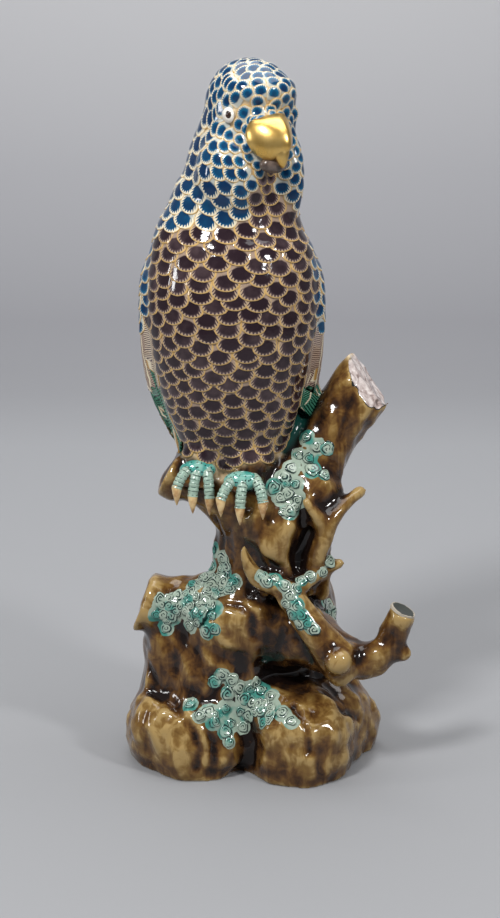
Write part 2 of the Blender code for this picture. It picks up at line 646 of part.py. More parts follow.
def main():
    for obj in list(bpy.data.objects):
        bpy.data.objects.remove(obj)
    figurine = figure_object("parrot_figurine", pieces_mesh(STUMP + BIRD))
    fuse(figurine, SOFTENING_PASSES)
    gnarl(figurine)
    bm = pieces_mesh(TRIM)
    bm.from_mesh(figurine.data)
    bm.to_mesh(figurine.data)
    bm.free()
    fuse(figurine, 1)
    lighten(figurine, TRIANGLE_BUDGET)
    paint(figurine)
    grind_foot(figurine)
    chip_branch(figurine)
    centre(figurine)
    figurine.data.shade_smooth()


main()
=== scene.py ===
"""Looks of the porcelain parrot: glazes, feather scales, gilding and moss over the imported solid.

Sizes are millimetres times MM, in the solid's own frame: +Z up, the bird's breast facing -Y.
Angles round the bird are degrees from the middle of its breast, positive on the right of the picture.
"""

import math

import bmesh
import bpy
import numpy as np
from mathutils import Matrix, Vector, noise
from mathutils.bvhtree import BVHTree


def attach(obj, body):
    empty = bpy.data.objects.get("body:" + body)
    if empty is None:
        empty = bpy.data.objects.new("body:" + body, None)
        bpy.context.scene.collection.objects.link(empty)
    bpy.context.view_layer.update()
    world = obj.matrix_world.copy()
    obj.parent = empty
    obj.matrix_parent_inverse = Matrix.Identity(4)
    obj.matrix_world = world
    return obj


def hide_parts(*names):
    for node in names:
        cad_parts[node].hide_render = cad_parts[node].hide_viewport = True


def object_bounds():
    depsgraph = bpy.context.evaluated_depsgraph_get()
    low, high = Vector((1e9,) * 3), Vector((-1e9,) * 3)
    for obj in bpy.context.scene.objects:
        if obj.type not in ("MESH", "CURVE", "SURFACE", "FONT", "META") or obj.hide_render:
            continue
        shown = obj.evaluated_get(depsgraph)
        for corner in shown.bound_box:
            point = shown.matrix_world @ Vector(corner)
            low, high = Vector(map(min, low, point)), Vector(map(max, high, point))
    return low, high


MM = 0.001
NODE = "parrot_figurine"

# Camera of the photograph: place, tilt below the horizon, and lens for a sensor height of 36 mm
CAMERA_PLACE = (-9.05 * MM, -947.15 * MM, 420 * MM)
CAMERA_TILT_DEG = 14.91
CAMERA_LENS = 71.1
SENSOR_HEIGHT = 36

# Skin of the casting under the glaze
SKIN_VOXEL = 1.25 * MM
SKIN_ROUNDS = 14
FOOT_TOP = 3.4 * MM
FOOT_FACING = -0.8
CALM_BASE = 6 * MM
COAT_ROUGHNESS = 0.04
BARK_RELIEF = 1.3 * MM
BARK_SPACING = 20 * MM
GROUND_INSET = 1.3 * MM

# Feather scales
SCALE_SAMPLES = 22000
SCALE_CLOSEST = 0.90
SCALE_ROUNDS = 6
SCALE_TILT = 0.9 * MM
SCALE_DOME = 0.22 * MM
SCALE_DEPTH = 1.0 * MM
SCALE_STROKES = 7.5
SCALE_SUNK = 0.06 * MM
SCALE_EDGE_SUNK = 0.26 * MM
SCALE_BLOCK = 2000

# The bird's trunk as level ellipses: height, middle x, middle y, half width, half depth
BIRD_PROFILE = (
    (158, -15.5, -1, 17, 15), (170, -16.5, 0, 24, 20), (178, -17, 1, 30, 26), (192, -17.5, 2, 36, 33),
    (214, -18.5, 2, 41.5, 39), (237, -18.5, 1, 45, 42), (259, -18.5, 1, 46, 43),
    (276, -18.5, 2, 44.5, 41), (288, -18.5, 3, 41.5, 37.5), (299, -17.5, 3, 36, 33),
    (320, -14, 3, 33, 32), (345, -9, 0, 26, 27), (382, -9, 0, 24, 26),
)
TAIL_PROFILE = (
    # height, then middle x, half width, and the depth that the tail lies behind
    (68, -6.5, 8, 32), (111, -10.7, 15.5, 31), (153, -15, 18, 30), (196, -18.5, 20, 29),
)
WING_PROFILE = (
    # height, then angle round the bird, distance from its middle, and half width, in millimetres
    (134, 170, 33, 8), (142, 166, 32.6, 12), (167, 152, 31, 19), (190, 140, 33, 25), (216, 127, 38, 29),
)
WING_MIDDLE = (-18.5, 3)
WING_TIP_HEIGHTS = (134, 222)
WING_TIP_DEPTHS = (-6, 8)
TAIL_HEIGHTS = (68, 200)
TAIL_FRONT = 28 * MM
BEAK_ROOT = Vector((2 * MM, -27 * MM, 343 * MM))
EYE_PLACE = Vector((-19.9 * MM, -23.9 * MM, 352.7 * MM))
FAR_EYE_PLACE = Vector((13.2 * MM, -4.9 * MM, 352.7 * MM))
THROAT_PLACE = Vector((4 * MM, -30 * MM, 326.5 * MM))
BARE_PLACES = ((Vector((3 * MM, -33 * MM, 340 * MM)), 12.5), (THROAT_PLACE, 6.0), (EYE_PLACE, 5.2),
               (FAR_EYE_PLACE, 5.2))
WING_EDGE_DEG = 77
WING_GAP = 5
PLUME_TOP = 214 * MM
BIRD_LOWEST = 160
BIRD_SHARE = 1.22
BIRD_SHARE_BACK = 1.05
BIRD_SHARES_RIGHT = ((170, 195, 210), (1.05, 1.13, 1.26))
STUMP_HIGHEST = 223

# Lower edge of the blue feathers round the neck: angle, height
NECKLACE = (
    (-180, 284), (-83, 287), (-68, 291), (-52, 295.6), (-39, 299), (-10, 300), (8, 303), (13, 308),
    (19, 316), (23, 329), (34, 329), (38, 316), (47, 304), (56, 301), (80, 298), (120, 290), (180, 284),
)


def at(x, y, z):
    """A place in the figure, given in millimetres."""
    return Vector((x, y, z)) * MM


def level(table, height):
    """The values of a table at a height, which is its first column."""
    heights = [row[0] for row in table]
    return [float(np.interp(height, heights, column)) for column in list(zip(*table))[1:]]


def around(place):
    """The angle of a place round the bird, in degrees from the middle of the breast."""
    middle_x, middle_y, _, _ = level(BIRD_PROFILE, place[2] / MM)
    return math.degrees(math.atan2(place[0] / MM - middle_x, middle_y - place[1] / MM))


def beside_bird(angle_deg, height):
    """A place just outside the bird, at a height in millimetres."""
    middle_x, middle_y, half_width, half_depth = level(BIRD_PROFILE, height)
    angle = math.radians(angle_deg)
    half_width, half_depth = half_width + WING_GAP, half_depth + WING_GAP
    return at(middle_x + math.sin(angle) * half_width, middle_y - math.cos(angle) * half_depth, height)


def out_from_bird(place):
    """How far out a place lies, as a share of the bird's level ellipse."""
    middle_x, middle_y, half_width, half_depth = level(BIRD_PROFILE, place[2] / MM)
    return math.hypot((place[0] / MM - middle_x) / half_width, (place[1] / MM - middle_y) / half_depth)


class Value:
    """A number that varies over a surface; plain arithmetic on it adds shader nodes."""

    def __init__(self, paint, socket):
        self.paint = paint
        self.socket = socket

    def __add__(self, other):
        return self.paint.math("ADD", self, other)

    def __sub__(self, other):
        return self.paint.math("SUBTRACT", self, other)

    def __rsub__(self, other):
        return self.paint.math("SUBTRACT", other, self)

    def __mul__(self, other):
        return self.paint.math("MULTIPLY", self, other)

    def __truediv__(self, other):
        return self.paint.math("DIVIDE", self, other)

    def __abs__(self):
        return self.paint.math("ABSOLUTE", self)

    def folded(self):
        """Runs up to a half and back down to 0, once in each whole number."""
        return self.paint.math("PINGPONG", self, 0.5)


class Paint:
    """A material, with short calls for the nodes that its colours come from."""

    def __init__(self, name, roughness=0.09, metallic=0.0, coat=0.3, gloss=0.5):
        self.material = bpy.data.materials.new(name)
        self.material.use_nodes = True
        self.nodes = self.material.node_tree.nodes
        self.links = self.material.node_tree.links
        self.shader = self.nodes["Principled BSDF"]
        self.shader.inputs["Roughness"].default_value = roughness
        self.shader.inputs["Metallic"].default_value = metallic
        self.shader.inputs["Specular IOR Level"].default_value = gloss
        self.shader.inputs["Coat Weight"].default_value = coat
        self.shader.inputs["Coat Roughness"].default_value = COAT_ROUGHNESS

    def feed(self, socket, value):
        if isinstance(value, Value):
            value = value.socket
        if isinstance(value, bpy.types.NodeSocket):
            self.links.new(value, socket)
        elif isinstance(value, tuple) and len(value) == 3 and len(socket.default_value) == 4:
            socket.default_value = (*value, 1)
        else:
            socket.default_value = value

    def node(self, kind, inputs, **settings):
        """A new node with its settings, and its inputs by name or number."""
        node = self.nodes.new(f"ShaderNode{kind}")
        for name, value in settings.items():
            setattr(node, name, value)
        for name, value in inputs.items():
            self.feed(node.inputs[name], value)
        return node

    def math(self, operation, *numbers):
        return Value(self, self.node("Math", dict(enumerate(numbers)), operation=operation).outputs[0])

    def fade(self, value, low, high):
        """0 where value is low, 1 where it is high, and smooth between."""
        inputs = {"Value": value, "From Min": low, "From Max": high}
        return Value(self, self.node("MapRange", inputs, interpolation_type="SMOOTHSTEP").outputs[0])

    def mix(self, share, first, second):
        return self.node("Mix", {0: share, 6: first, 7: second}, data_type="RGBA").outputs[2]

    def where(self):
        return self.nodes.new("ShaderNodeTexCoord").outputs["Object"]

    def stretched(self, x, y, z):
        """Object coordinates times a factor each way."""
        return self.node("Mapping", {"Vector": self.where(), "Scale": (x, y, z)}).outputs[0]

    def noise(self, scale, detail=2.0, place=None, distortion=0.0):
        inputs = {"Scale": scale, "Detail": detail, "Distortion": distortion}
        node = self.node("TexNoise", {"Vector": place or self.where(), **inputs})
        return Value(self, node.outputs[0])

    def attribute(self, name):
        return Value(self, self.node("Attribute", {}, attribute_name=name).outputs["Fac"])

    def parts(self, vector):
        """The three numbers of a vector."""
        return [Value(self, socket) for socket in self.node("SeparateXYZ", {0: vector}).outputs]

    def tile_place(self):
        """Across and along values of the tile that the point lies on."""
        return self.parts(self.node("UVMap", {}, uv_map="tile").outputs[0])[:2]

    def out(self, across, along):
        """How far a point lies from the middle of its tile."""
        return self.math("SQRT", across * across + along * along)

    def ramp(self, value, *stops):
        node = self.node("ValToRGB", {0: value})
        elements = node.color_ramp.elements
        while len(elements) < len(stops):
            elements.new(1.0)
        for element, (position, colour) in zip(elements, stops):
            element.position = position
            element.color = (*colour, 1)
        return node.outputs[0]

    def bump(self, height, depth, strength):
        node = self.node("Bump", {"Strength": strength, "Distance": depth, "Height": height})
        self.feed(self.shader.inputs["Normal"], node.outputs[0])

    def colour(self, value):
        self.feed(self.shader.inputs["Base Color"], value)

    def roughness(self, value):
        self.feed(self.shader.inputs["Roughness"], value)


DARK_GLAZE = (0.009, 0.005, 0.004)
BROWN_GLAZE = (0.040, 0.017, 0.006)
AMBER_GLAZE = (0.100, 0.046, 0.012)
TAN_GLAZE = (0.180, 0.102, 0.028)
PALE_GLAZE = (0.320, 0.215, 0.082)
OCHRE_LINE = (0.430, 0.245, 0.070)
PALE_OCHRE = (0.620, 0.430, 0.180)
CREAM = (0.730, 0.640, 0.460)
WARM_GROUND = (0.420, 0.310, 0.200)
COBALT = (0.002, 0.024, 0.075)
TURQUOISE_BLUE = (0.010, 0.160, 0.300)
AUBERGINE = (0.018, 0.009, 0.013)
MAUVE = (0.190, 0.130, 0.132)
MOSS_PALE = (0.290, 0.360, 0.290)
MOSS_TURQUOISE = (0.050, 0.220, 0.180)
INK = (0.010, 0.028, 0.026)
GOLD = (0.880, 0.550, 0.140)


def broken_wood(paint, glaze):
    """The glaze, and over it the pinkish grey of the broken end inside a black line."""
    cut = paint.attribute("cut")
    cloud = paint.noise(200.0, 3.0, distortion=1.2)
    wood = paint.ramp(
        cloud, (0.30, (0.10, 0.07, 0.06)), (0.45, (0.36, 0.29, 0.27)), (0.65, (0.62, 0.56, 0.53))
    )
    glaze = paint.mix(paint.fade(cut, 0.25, 0.45), glaze, (0.012, 0.016, 0.016))
    return paint.mix(paint.fade(cut, 0.50, 0.62), glaze, wood)


def stump_paint():
    """Brown glaze: thin and tan over the ridges and pooled dark in the hollows; the same tone is also
    painted highlight on the ridges and painted shade in the hollows and creases.
    """
    paint = Paint("brown_glaze", roughness=0.10, coat=0.1, gloss=0.35)
    streaks = paint.noise(1.0, 4.0, paint.stretched(150, 150, 34), 1.2) - 0.5
    clouds = paint.noise(30.0, 2.0, distortion=0.8) - 0.5
    mottle = paint.noise(150.0, 4.0, distortion=1.4) - 0.5
    # ridge is partly the glaze's own thinning and pooling, partly painted highlight on ridges and
    # painted shade in hollows and creases
    tone = paint.attribute("ridge") + clouds * 0.9 + streaks * 0.8 + mottle * 0.85
    glaze = paint.ramp(
        tone, (0.06, DARK_GLAZE), (0.30, BROWN_GLAZE), (0.54, AMBER_GLAZE), (0.78, TAN_GLAZE),
        (1.0, PALE_GLAZE)
    )
    patch = paint.mix(paint.fade(paint.noise(90.0), 0.48, 0.62), MOSS_PALE, MOSS_TURQUOISE)
    ragged = paint.attribute("moss") + (paint.noise(260.0) - 0.5) * 0.9
    glaze = paint.mix(paint.fade(ragged, 0.40, 0.52), glaze, patch)
    glaze = broken_wood(paint, glaze)
    ground = paint.mix(paint.noise(300.0), CREAM, OCHRE_LINE)
    ground = paint.mix(paint.attribute("plume"), ground, (0.008, 0.055, 0.045))
    glaze = paint.mix(paint.attribute("bird"), glaze, ground)
    biscuit = paint.attribute("biscuit")
    paint.colour(paint.mix(biscuit, glaze, (0.62, 0.57, 0.48)))
    paint.roughness(biscuit * 0.6 + 0.10)
    paint.bump(paint.noise(160.0), 0.35 * MM, 0.5)
    return paint.material


def scale_paint(name, deep, light, ground, margin, comb, line):
    """Painted scale: a fan of glaze with a combed edge, on a pale ground inside an ochre line, in mm."""
    paint = Paint(name, roughness=0.07, coat=0.15, gloss=0.35)
    across, along = paint.tile_place()
    half = paint.attribute("half_width")
    tone = paint.attribute("tone")
    squared = across * across
    inside = (1.0 - paint.out(across, paint.math("MAXIMUM", along, 0.0))) * half
    size = half / 6.0
    fan = paint.math("ARCTAN2", across, along + 1.2)
    gap = paint.fade((fan * SCALE_STROKES + tone * 7.0).folded(), 0.10, 0.38)
    uneven = paint.noise(420.0) - 0.5
    reach = (gap * comb + margin) * (squared * 0.4 + 1.0) * size + uneven * 0.8
    crest = along * half + (1.0 - squared) * 3.1 * size
    filled = paint.fade(inside - reach, -0.10, 0.14) * paint.fade(crest + uneven, -0.5, 0.5)
    wash = (tone - 0.5) * 0.5 + paint.noise(150.0, 3.0)
    pale = paint.fade(inside, 4.0, 1.2) * 0.62 + wash * 0.45
    fill = paint.mix(paint.fade(pale, 0.15, 0.95), deep, light)
    stroke = (1.0 - gap) * paint.fade(inside, 4.4, 2.0)
    fill = paint.mix(stroke * 0.7, fill, deep)
    ground = paint.mix(paint.fade(reach - inside, 1.0, 0.0) * 0.45, ground, light)
    band = paint.fade(uneven * 0.8 + inside, line, line + 0.45)
    ochre = paint.mix(paint.noise(330.0), OCHRE_LINE, PALE_OCHRE)
    paint.colour(paint.mix(filled, paint.mix(band, ochre, ground), fill))
    paint.bump(filled * 0.6 + paint.noise(380.0, 1.0), 0.16 * MM, 0.6)
    return paint.material


def plume_paint(name, dark, light, edge, barbs):
    """Long feather: fine slanting barbs either side of a pale shaft, inside a cream edge."""
    paint = Paint(name)
    across, along = paint.tile_place()
    half = paint.attribute("half_width")
    side = abs(across)
    wave = paint.noise(260.0) * 0.7 + (along - side * half * 0.9) * barbs
    stripe = paint.fade(wave.folded(), 0.12, 0.38)
    wash = paint.attribute("tone") * 0.5 + paint.noise(90.0) * 0.5
    vane = paint.mix(stripe, dark, paint.mix(wash, light, edge))
    inside = (1.0 - side) * half
    vane = paint.mix(paint.fade(inside, 0.75, 0.5), vane, CREAM)
    vane = paint.mix(paint.fade(inside, 0.35, 0.2), vane, OCHRE_LINE)
    shaft = paint.fade(side * half, 0.42, 0.25)
    paint.colour(paint.mix(shaft, vane, CREAM))
    paint.bump(stripe + shaft * 1.5, 0.10 * MM, 0.5)
    return paint.material


def moss_paint():
    """Pale green cloud lobes with turquoise pools and broken black curls."""
    paint = Paint("moss_enamel")
    across, along = paint.tile_place()
    tone = paint.attribute("tone")
    out = paint.out(across, along)
    wander = paint.noise(230.0, 1.0) - 0.5
    turn = paint.math("ARCTAN2", along, across) / (2 * math.pi)
    coil = out * 2.2 - (turn + tone) + wander * 0.9
    off = abs(paint.math("FRACT", coil) - 0.5)
    brush = paint.noise(300.0, 1.0) * 0.55 - 0.08
    stroke = paint.fade(brush - off, -0.03, 0.03) * paint.fade((tone * 3.0 + turn).folded(), 0.05, 0.16)
    pool = paint.fade(tone * 0.2 + paint.noise(90.0), 0.56, 0.72)
    glaze = paint.mix(pool, MOSS_PALE, MOSS_TURQUOISE)
    milky = paint.fade(paint.noise(200.0), 0.45, 0.7) * 0.5
    glaze = paint.mix(milky, glaze, (0.46, 0.52, 0.43))
    rim = paint.fade((1.0 - out) * paint.attribute("half_width"), 0.36, 0.16)
    ink = paint.math("MAXIMUM", stroke, rim * paint.fade(along, -0.1, 0.3))
    paint.colour(paint.mix(ink, glaze, INK))
    paint.bump(paint.noise(420.0, 1.0), 0.12 * MM, 0.4)
    return paint.material


def gold_paint():
    """Burnished gilding over the beak, a little worn and brushed."""
    paint = Paint("beak_gilding", roughness=0.30, metallic=1.0, coat=0.05)
    cloud = paint.noise(110.0, 3.0)
    brushed = paint.noise(1.0, 2.0, paint.stretched(900, 900, 160))
    gold = paint.mix(paint.fade(cloud, 0.35, 0.7), GOLD, (0.93, 0.64, 0.22))
    paint.colour(paint.mix(brushed * 0.25, gold, (0.50, 0.27, 0.07)))
    paint.roughness(cloud * 0.20 + 0.20)
    paint.bump(paint.noise(300.0), 0.15 * MM, 0.4)
    return paint.material


def plain_paint(name, colour, second, scale, coat=0.3):
    """One glaze, clouded with a second colour."""
    paint = Paint(name, roughness=0.1, coat=coat)
    paint.colour(paint.mix(paint.fade(paint.noise(scale, 3.0), 0.35, 0.7), colour, second))
    paint.bump(paint.noise(scale * 2), 0.1 * MM, 0.4)
    return paint.material


def toe_paint():
    """Pale grey-green toe with fine black rings."""
    paint = Paint("toe_enamel")
    _, along = paint.tile_place()
    ring = (paint.noise(420.0) * 0.5 + along).folded()
    broken = paint.fade(ring, 0.13, 0.06) * paint.fade(paint.noise(500.0, 1.0), 0.38, 0.5)
    skin = paint.mix(paint.noise(260.0), (0.34, 0.42, 0.33), (0.22, 0.36, 0.30))
    paint.colour(paint.mix(broken, skin, INK))
    paint.bump(ring, 0.25 * MM, 0.6)
    return paint.material


def palm_paint():
    """Turquoise palm dotted with black."""
    paint = Paint("palm_enamel")
    cells = paint.node("TexVoronoi", {"Scale": 620.0, "Vector": paint.where()})
    dots = paint.fade(cells.outputs["Distance"], 0.34, 0.24)
    skin = paint.mix(paint.fade(paint.noise(160.0), 0.4, 0.65), (0.05, 0.28, 0.24), (0.22, 0.44, 0.37))
    paint.colour(paint.mix(dots, skin, INK))
    paint.bump(paint.noise(300.0), 0.1 * MM, 0.4)
    return paint.material


def end_paint():
    """Dark teal glaze pooled in a broken end, with a painted highlight as a pale ring round its edge."""
    paint = Paint("pooled_end", roughness=0.5, coat=0.0)
    out = paint.out(*paint.tile_place()) + (paint.noise(200.0) - 0.5) * 0.4
    pool = paint.mix(paint.noise(160.0), (0.010, 0.014, 0.013), (0.050, 0.055, 0.045))
    # the pale ring round the edge is a painted highlight
    paint.colour(paint.mix(paint.fade(out, 0.84, 0.92), pool, (0.34, 0.30, 0.24)))
    return paint.material


def link_object(name, mesh):
    obj = bpy.data.objects.new(name, mesh)
    bpy.context.scene.collection.objects.link(obj)
    return obj


def read_vectors(data, name):
    values = np.empty(len(data) * 3, np.float32)
    data.foreach_get(name, values)
    return values.reshape(-1, 3).astype(float)


def write_attribute(mesh, name, values):
    attribute = mesh.attributes.new(name, "FLOAT", "POINT")
    attribute.data.foreach_set("value", np.asarray(values, np.float32))


class Surface:
    """A mesh, or the part of it where wanted is true, with a tree that finds its nearest points."""

    def __init__(self, mesh, wanted=None):
        mesh.calc_loop_triangles()
        self.places = read_vectors(mesh.vertices, "co")
        corners = np.empty(len(mesh.loop_triangles) * 3, np.int32)
        mesh.loop_triangles.foreach_get("vertices", corners)
        self.triangles = corners.reshape(-1, 3)
        if wanted:
            kept = [wanted(middle) for middle in self.places[self.triangles].mean(1)]
            self.triangles = self.triangles[kept]
        self.normals = np.array([normal.vector for normal in mesh.vertex_normals], float)
        self.tree = BVHTree.FromPolygons(self.places.tolist(), self.triangles.tolist())

    def seat(self, place):
        """The nearest point and the smooth normal there."""
        nearest, _, index, _ = self.tree.find_nearest(place)
        corners = self.triangles[index]
        gaps = np.linalg.norm(self.places[corners] - np.array(nearest), axis=1) + 1e-6
        normal = (self.normals[corners] / gaps[:, None]).sum(0)
        return nearest, Vector(normal).normalized()


GROOVES = (
    # carved lines as (width, depth) and places, in millimetres
    ((3.2, 2.6), (-36, -26, 84), (-31.6, -29, 89), (-23.5, -28.8, 95.7), (-13.3, -31.2, 95.4),
     (-8, -34.2, 89.7), (-7, -34.7, 79)),
    ((2.6, 1.8), (5.2, -41.5, 105), (9.4, -42.9, 97.3), (8.6, -34.6, 81.3), (5.4, -33.1, 71.7)),
    ((3.0, 2.4), (22.9, -24.6, 134), (16.6, -23.1, 121), (5.3, -33.4, 116.4), (-6.9, -34, 122),
     (-14.3, -32.9, 130)),
    ((3.2, 2.6), (-64, -17.4, 41), (-47.4, -36.4, 37.3), (-39.6, -45.4, 29), (-35.9, -48.1, 18),
     (-37.5, -48.3, 8.8)),
    ((3.0, 2.2), (-41.5, -32.1, 41.3), (-35.9, -43, 35.5), (-28.4, -45.2, 22), (-28.4, -47.5, 10.8)),
    ((2.6, 1.8), (-10.7, -34.4, 29.5), (-6.9, -39.7, 19.5), (-8, -38.5, 6.7)),
    ((3.0, 2.2), (14, -41.5, 41.8), (20.7, -52.7, 34.4), (22.9, -55.5, 21.3)),
    ((3.2, 2.2), (32.9, -25.4, 42.7), (41.4, -31.8, 35.4), (51.4, -21.1, 26.1)),
    ((3.6, 2.6), (-65, -12, 52), (-60, -22, 42), (-46.4, -34.1, 38.7)),
    ((2.4, 1.6), (-28.3, -16.6, 139.5), (-24.2, -11.4, 123.8), (-25.3, -10.6, 113.9)),
    ((2.4, 1.6), (47.2, -6.8, 210.3), (42, -10, 193), (37.8, -12.4, 176.6)),
    ((2.2, 1.4), (60, -3, 200), (57.1, -6.6, 195), (48, -9, 180)),
    ((3.0, 2.2), (30, 18, 150), (24, 26, 120), (28, 30, 90), (24, 34, 50)),
    ((3.0, 2.2), (-30, 26, 90), (-22, 34, 60), (-30, 44, 30)),
    ((2.8, 2.0), (4, 36, 92), (2, 44, 60), (8, 46, 30)),
)
GLAZE_SPOTS = (
    # where the glaze runs thin and pale or pools dark, and where some dark spots are painted shade:
    # place and radius in millimetres, change of tone
    (-31, -29, 84, 17, 0.24), (-45, -25, 70, 14, 0.12), (-30, -10, 106, 15, -0.14),
    (-68, -5, 92, 12, -0.22), (-55, -30, 25, 20, 0.24), (-38, -47, 12, 12, 0.12),
    (-9, -38, 22, 10, -0.10), (20, -52, 25, 22, 0.14), (45, -35, 22, 16, 0.14), (58, -10, 35, 16, 0.04),
    # painted shade: (20, -26, 125) darkens the crevice beside the teardrop bulge, and (10, -28, 60),
    # (-20, -30, 60) and (-30, -38, 62) the hollow under the log's overhang
    (-15, -28, 135, 15, -0.06), (7, -35, 133, 8, 0.26), (20, -26, 125, 8, -0.25),
    (46, 0, 186, 24, -0.10), (34, 0, 190, 11, -0.30), (10, -28, 60, 15, -0.30),
    (-20, -30, 60, 11, -0.30), (41, -55, 75, 7, 0.34), (60, -36, 68, 12, -0.32),
    (68, -36, 80, 8, -0.20), (71, -36, 88, 7, -0.08), (-45, -15, 160, 12, -0.04),
    (20, -46, 88, 9, -0.08), (-12, -33, 127, 5, 0.30), (50, -11, 155, 7, 0.20), (38, -23, 119, 5, 0.30),
    (21, -30, 154, 5, 0.20), (-62, -15, 55, 11, -0.25), (-48, -8, 166, 9, -0.15),
    (4, -40, 110, 6, 0.20), (-30, -38, 62, 16, -0.12),
)
BRANCH_TOP = (54.5, 7.9, 210)
BRANCH_REACH = 24
BRANCH_FACING = 0.93

# How the stump's tone follows its shape: partly the glaze thinning over ridges and pooling in hollows,
# partly painted highlight on ridges and painted shade in hollows and creases; and darker towards the
# bottom
RIDGE_MIDDLE = 0.44
RIDGE_NEAR = 1.5 * MM
RIDGE_FAR = 9 * MM
# tone taken off towards the bottom, over the lowest FOOT_DARK_TOP of the stump
FOOT_DARKER = 0.25
FOOT_DARK_TOP = 12 * MM

# Where the skin sinks to make room for the toes
TOE_ROOM = 5.6 * MM
TOE_ROOM_EDGE = 1.5 * MM
BRANCH_FACETS = ((0.84, -0.12, 0.54), (0.56, -0.63, 0.53))


def resampled(line, step=1.5):
    """Places along a line of places in millimetres, closely spaced, in metres."""
    line = np.array(line, float)
    spans = np.linalg.norm(np.diff(line, axis=0), axis=1)
    travelled = np.concatenate([[0], np.cumsum(spans)])
    stops = np.linspace(0, travelled[-1], int(travelled[-1] / step) + 2)
    return np.stack([np.interp(stops, travelled, line[:, i]) for i in range(3)], 1) * MM


def distances(places, line):
    """How far each place is from a line of closely spaced places."""
    nearest = np.full(len(places), 1.0)
    for spot in line:
        nearest = np.minimum(nearest, ((places - spot) ** 2).sum(1))
    return np.sqrt(nearest)


class Skin:
    """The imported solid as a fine, even skin whose places can be moved all at once."""

    def __init__(self, node):
        self.obj = link_object("glazed_body", node.data.copy())
        remesh = self.obj.modifiers.new("even_skin", "REMESH")
        remesh.mode = "VOXEL"
        remesh.voxel_size = SKIN_VOXEL
        graph = bpy.context.evaluated_depsgraph_get()
        mesh = bpy.data.meshes.new_from_object(self.obj.evaluated_get(graph))
        self.obj.modifiers.clear()
        self.obj.data = mesh
        self.places = read_vectors(mesh.vertices, "co")
        edges = np.empty(len(mesh.edges) * 2, np.int32)
        mesh.edges.foreach_get("vertices", edges)
        self.edges = edges.reshape(-1, 2)
        self.degree = np.bincount(edges, minlength=len(self.places)).astype(float)
        for _ in range(SKIN_ROUNDS):
            self.places = self.relaxed(self.places, 0.55)
            self.places = self.relaxed(self.places, -0.57)
        self.move(self.places)

    def relaxed(self, values, factor):
        """Each vertex's values moved towards its neighbours' mean, or away where factor is negative."""
        columns = values.reshape(len(values), -1)
        means = np.empty_like(columns)
        for i in range(columns.shape[1]):
            total = np.bincount(self.edges[:, 0], columns[self.edges[:, 1], i], len(values))
            total += np.bincount(self.edges[:, 1], columns[self.edges[:, 0], i], len(values))
            means[:, i] = total / self.degree
        return (columns + factor * (means - columns)).reshape(values.shape)

    def blurred(self, values, rounds, factor=0.8):
        for _ in range(rounds):
            values = self.relaxed(values, factor)
        return values

    def move(self, places):
        self.places = places
        mesh = self.obj.data
        mesh.vertices.foreach_set("co", places.astype(np.float32).ravel())
        mesh.update()
        self.normals = np.array([normal.vector for normal in mesh.vertex_normals], float)

    def gaps(self, x, y, z):
        """How far each vertex is from a place, all in millimetres."""
        return np.linalg.norm(self.places - np.array((x, y, z)) * MM, axis=1) / MM

    def sink(self, amount):
        """Moves each vertex inwards by its amount."""
        self.move(self.places - self.normals * amount[:, None])


def is_tail(place):
    """True on the long tail that lies against the back of the trunk."""
    height = place[2] / MM
    if not TAIL_HEIGHTS[0] < height < TAIL_HEIGHTS[1] or place[1] < TAIL_FRONT:
        return False
    middle, half_width, depth = level(TAIL_PROFILE, height)
    return place[1] / MM > depth and abs(place[0] / MM - middle) < half_width


def is_wing_tip(place):
    """True on the outer face of a folded wing, low down where it stands clear of the body."""
    height = place[2] / MM
    x, y = place[0] / MM - WING_MIDDLE[0], place[1] / MM - WING_MIDDLE[1]
    if not WING_TIP_HEIGHTS[0] < height < WING_TIP_HEIGHTS[1] or y < 4:
        return False
    angle, distance, half_width = level(WING_PROFILE, height)
    middle = math.radians(angle)
    out = abs(x) * math.sin(middle) - y * math.cos(middle)
    along = -abs(x) * math.cos(middle) - y * math.sin(middle)
    return WING_TIP_DEPTHS[0] < out - distance < WING_TIP_DEPTHS[1] and abs(along) < half_width


def is_bird(place):
    """True where the skin belongs to the bird and not to the stump."""
    height = place[2] / MM
    if is_tail(place) or is_wing_tip(place):
        return True
    if not BIRD_LOWEST <= height <= STUMP_HIGHEST:
        return height > STUMP_HIGHEST
    limit = BIRD_SHARE
    if place[0] > 2 * MM:
        behind = place[1] > 12 * MM
        limit = BIRD_SHARE_BACK if behind else float(np.interp(height, *BIRD_SHARES_RIGHT))
    return out_from_bird(place) < limit


def bark(place):
    """Depth of the stump's folds at a place, from 0 on a ridge to 1: long swirling furrows."""
    spot = Vector(place) / BARK_SPACING
    swirl = noise.noise(spot * 0.6) * 1.4
    fold = noise.noise(Vector((spot.x * 1.3 + swirl, spot.y * 1.3 - swirl, spot.z * 0.5)))
    return min(abs(fold) * 1.8, 1.0)


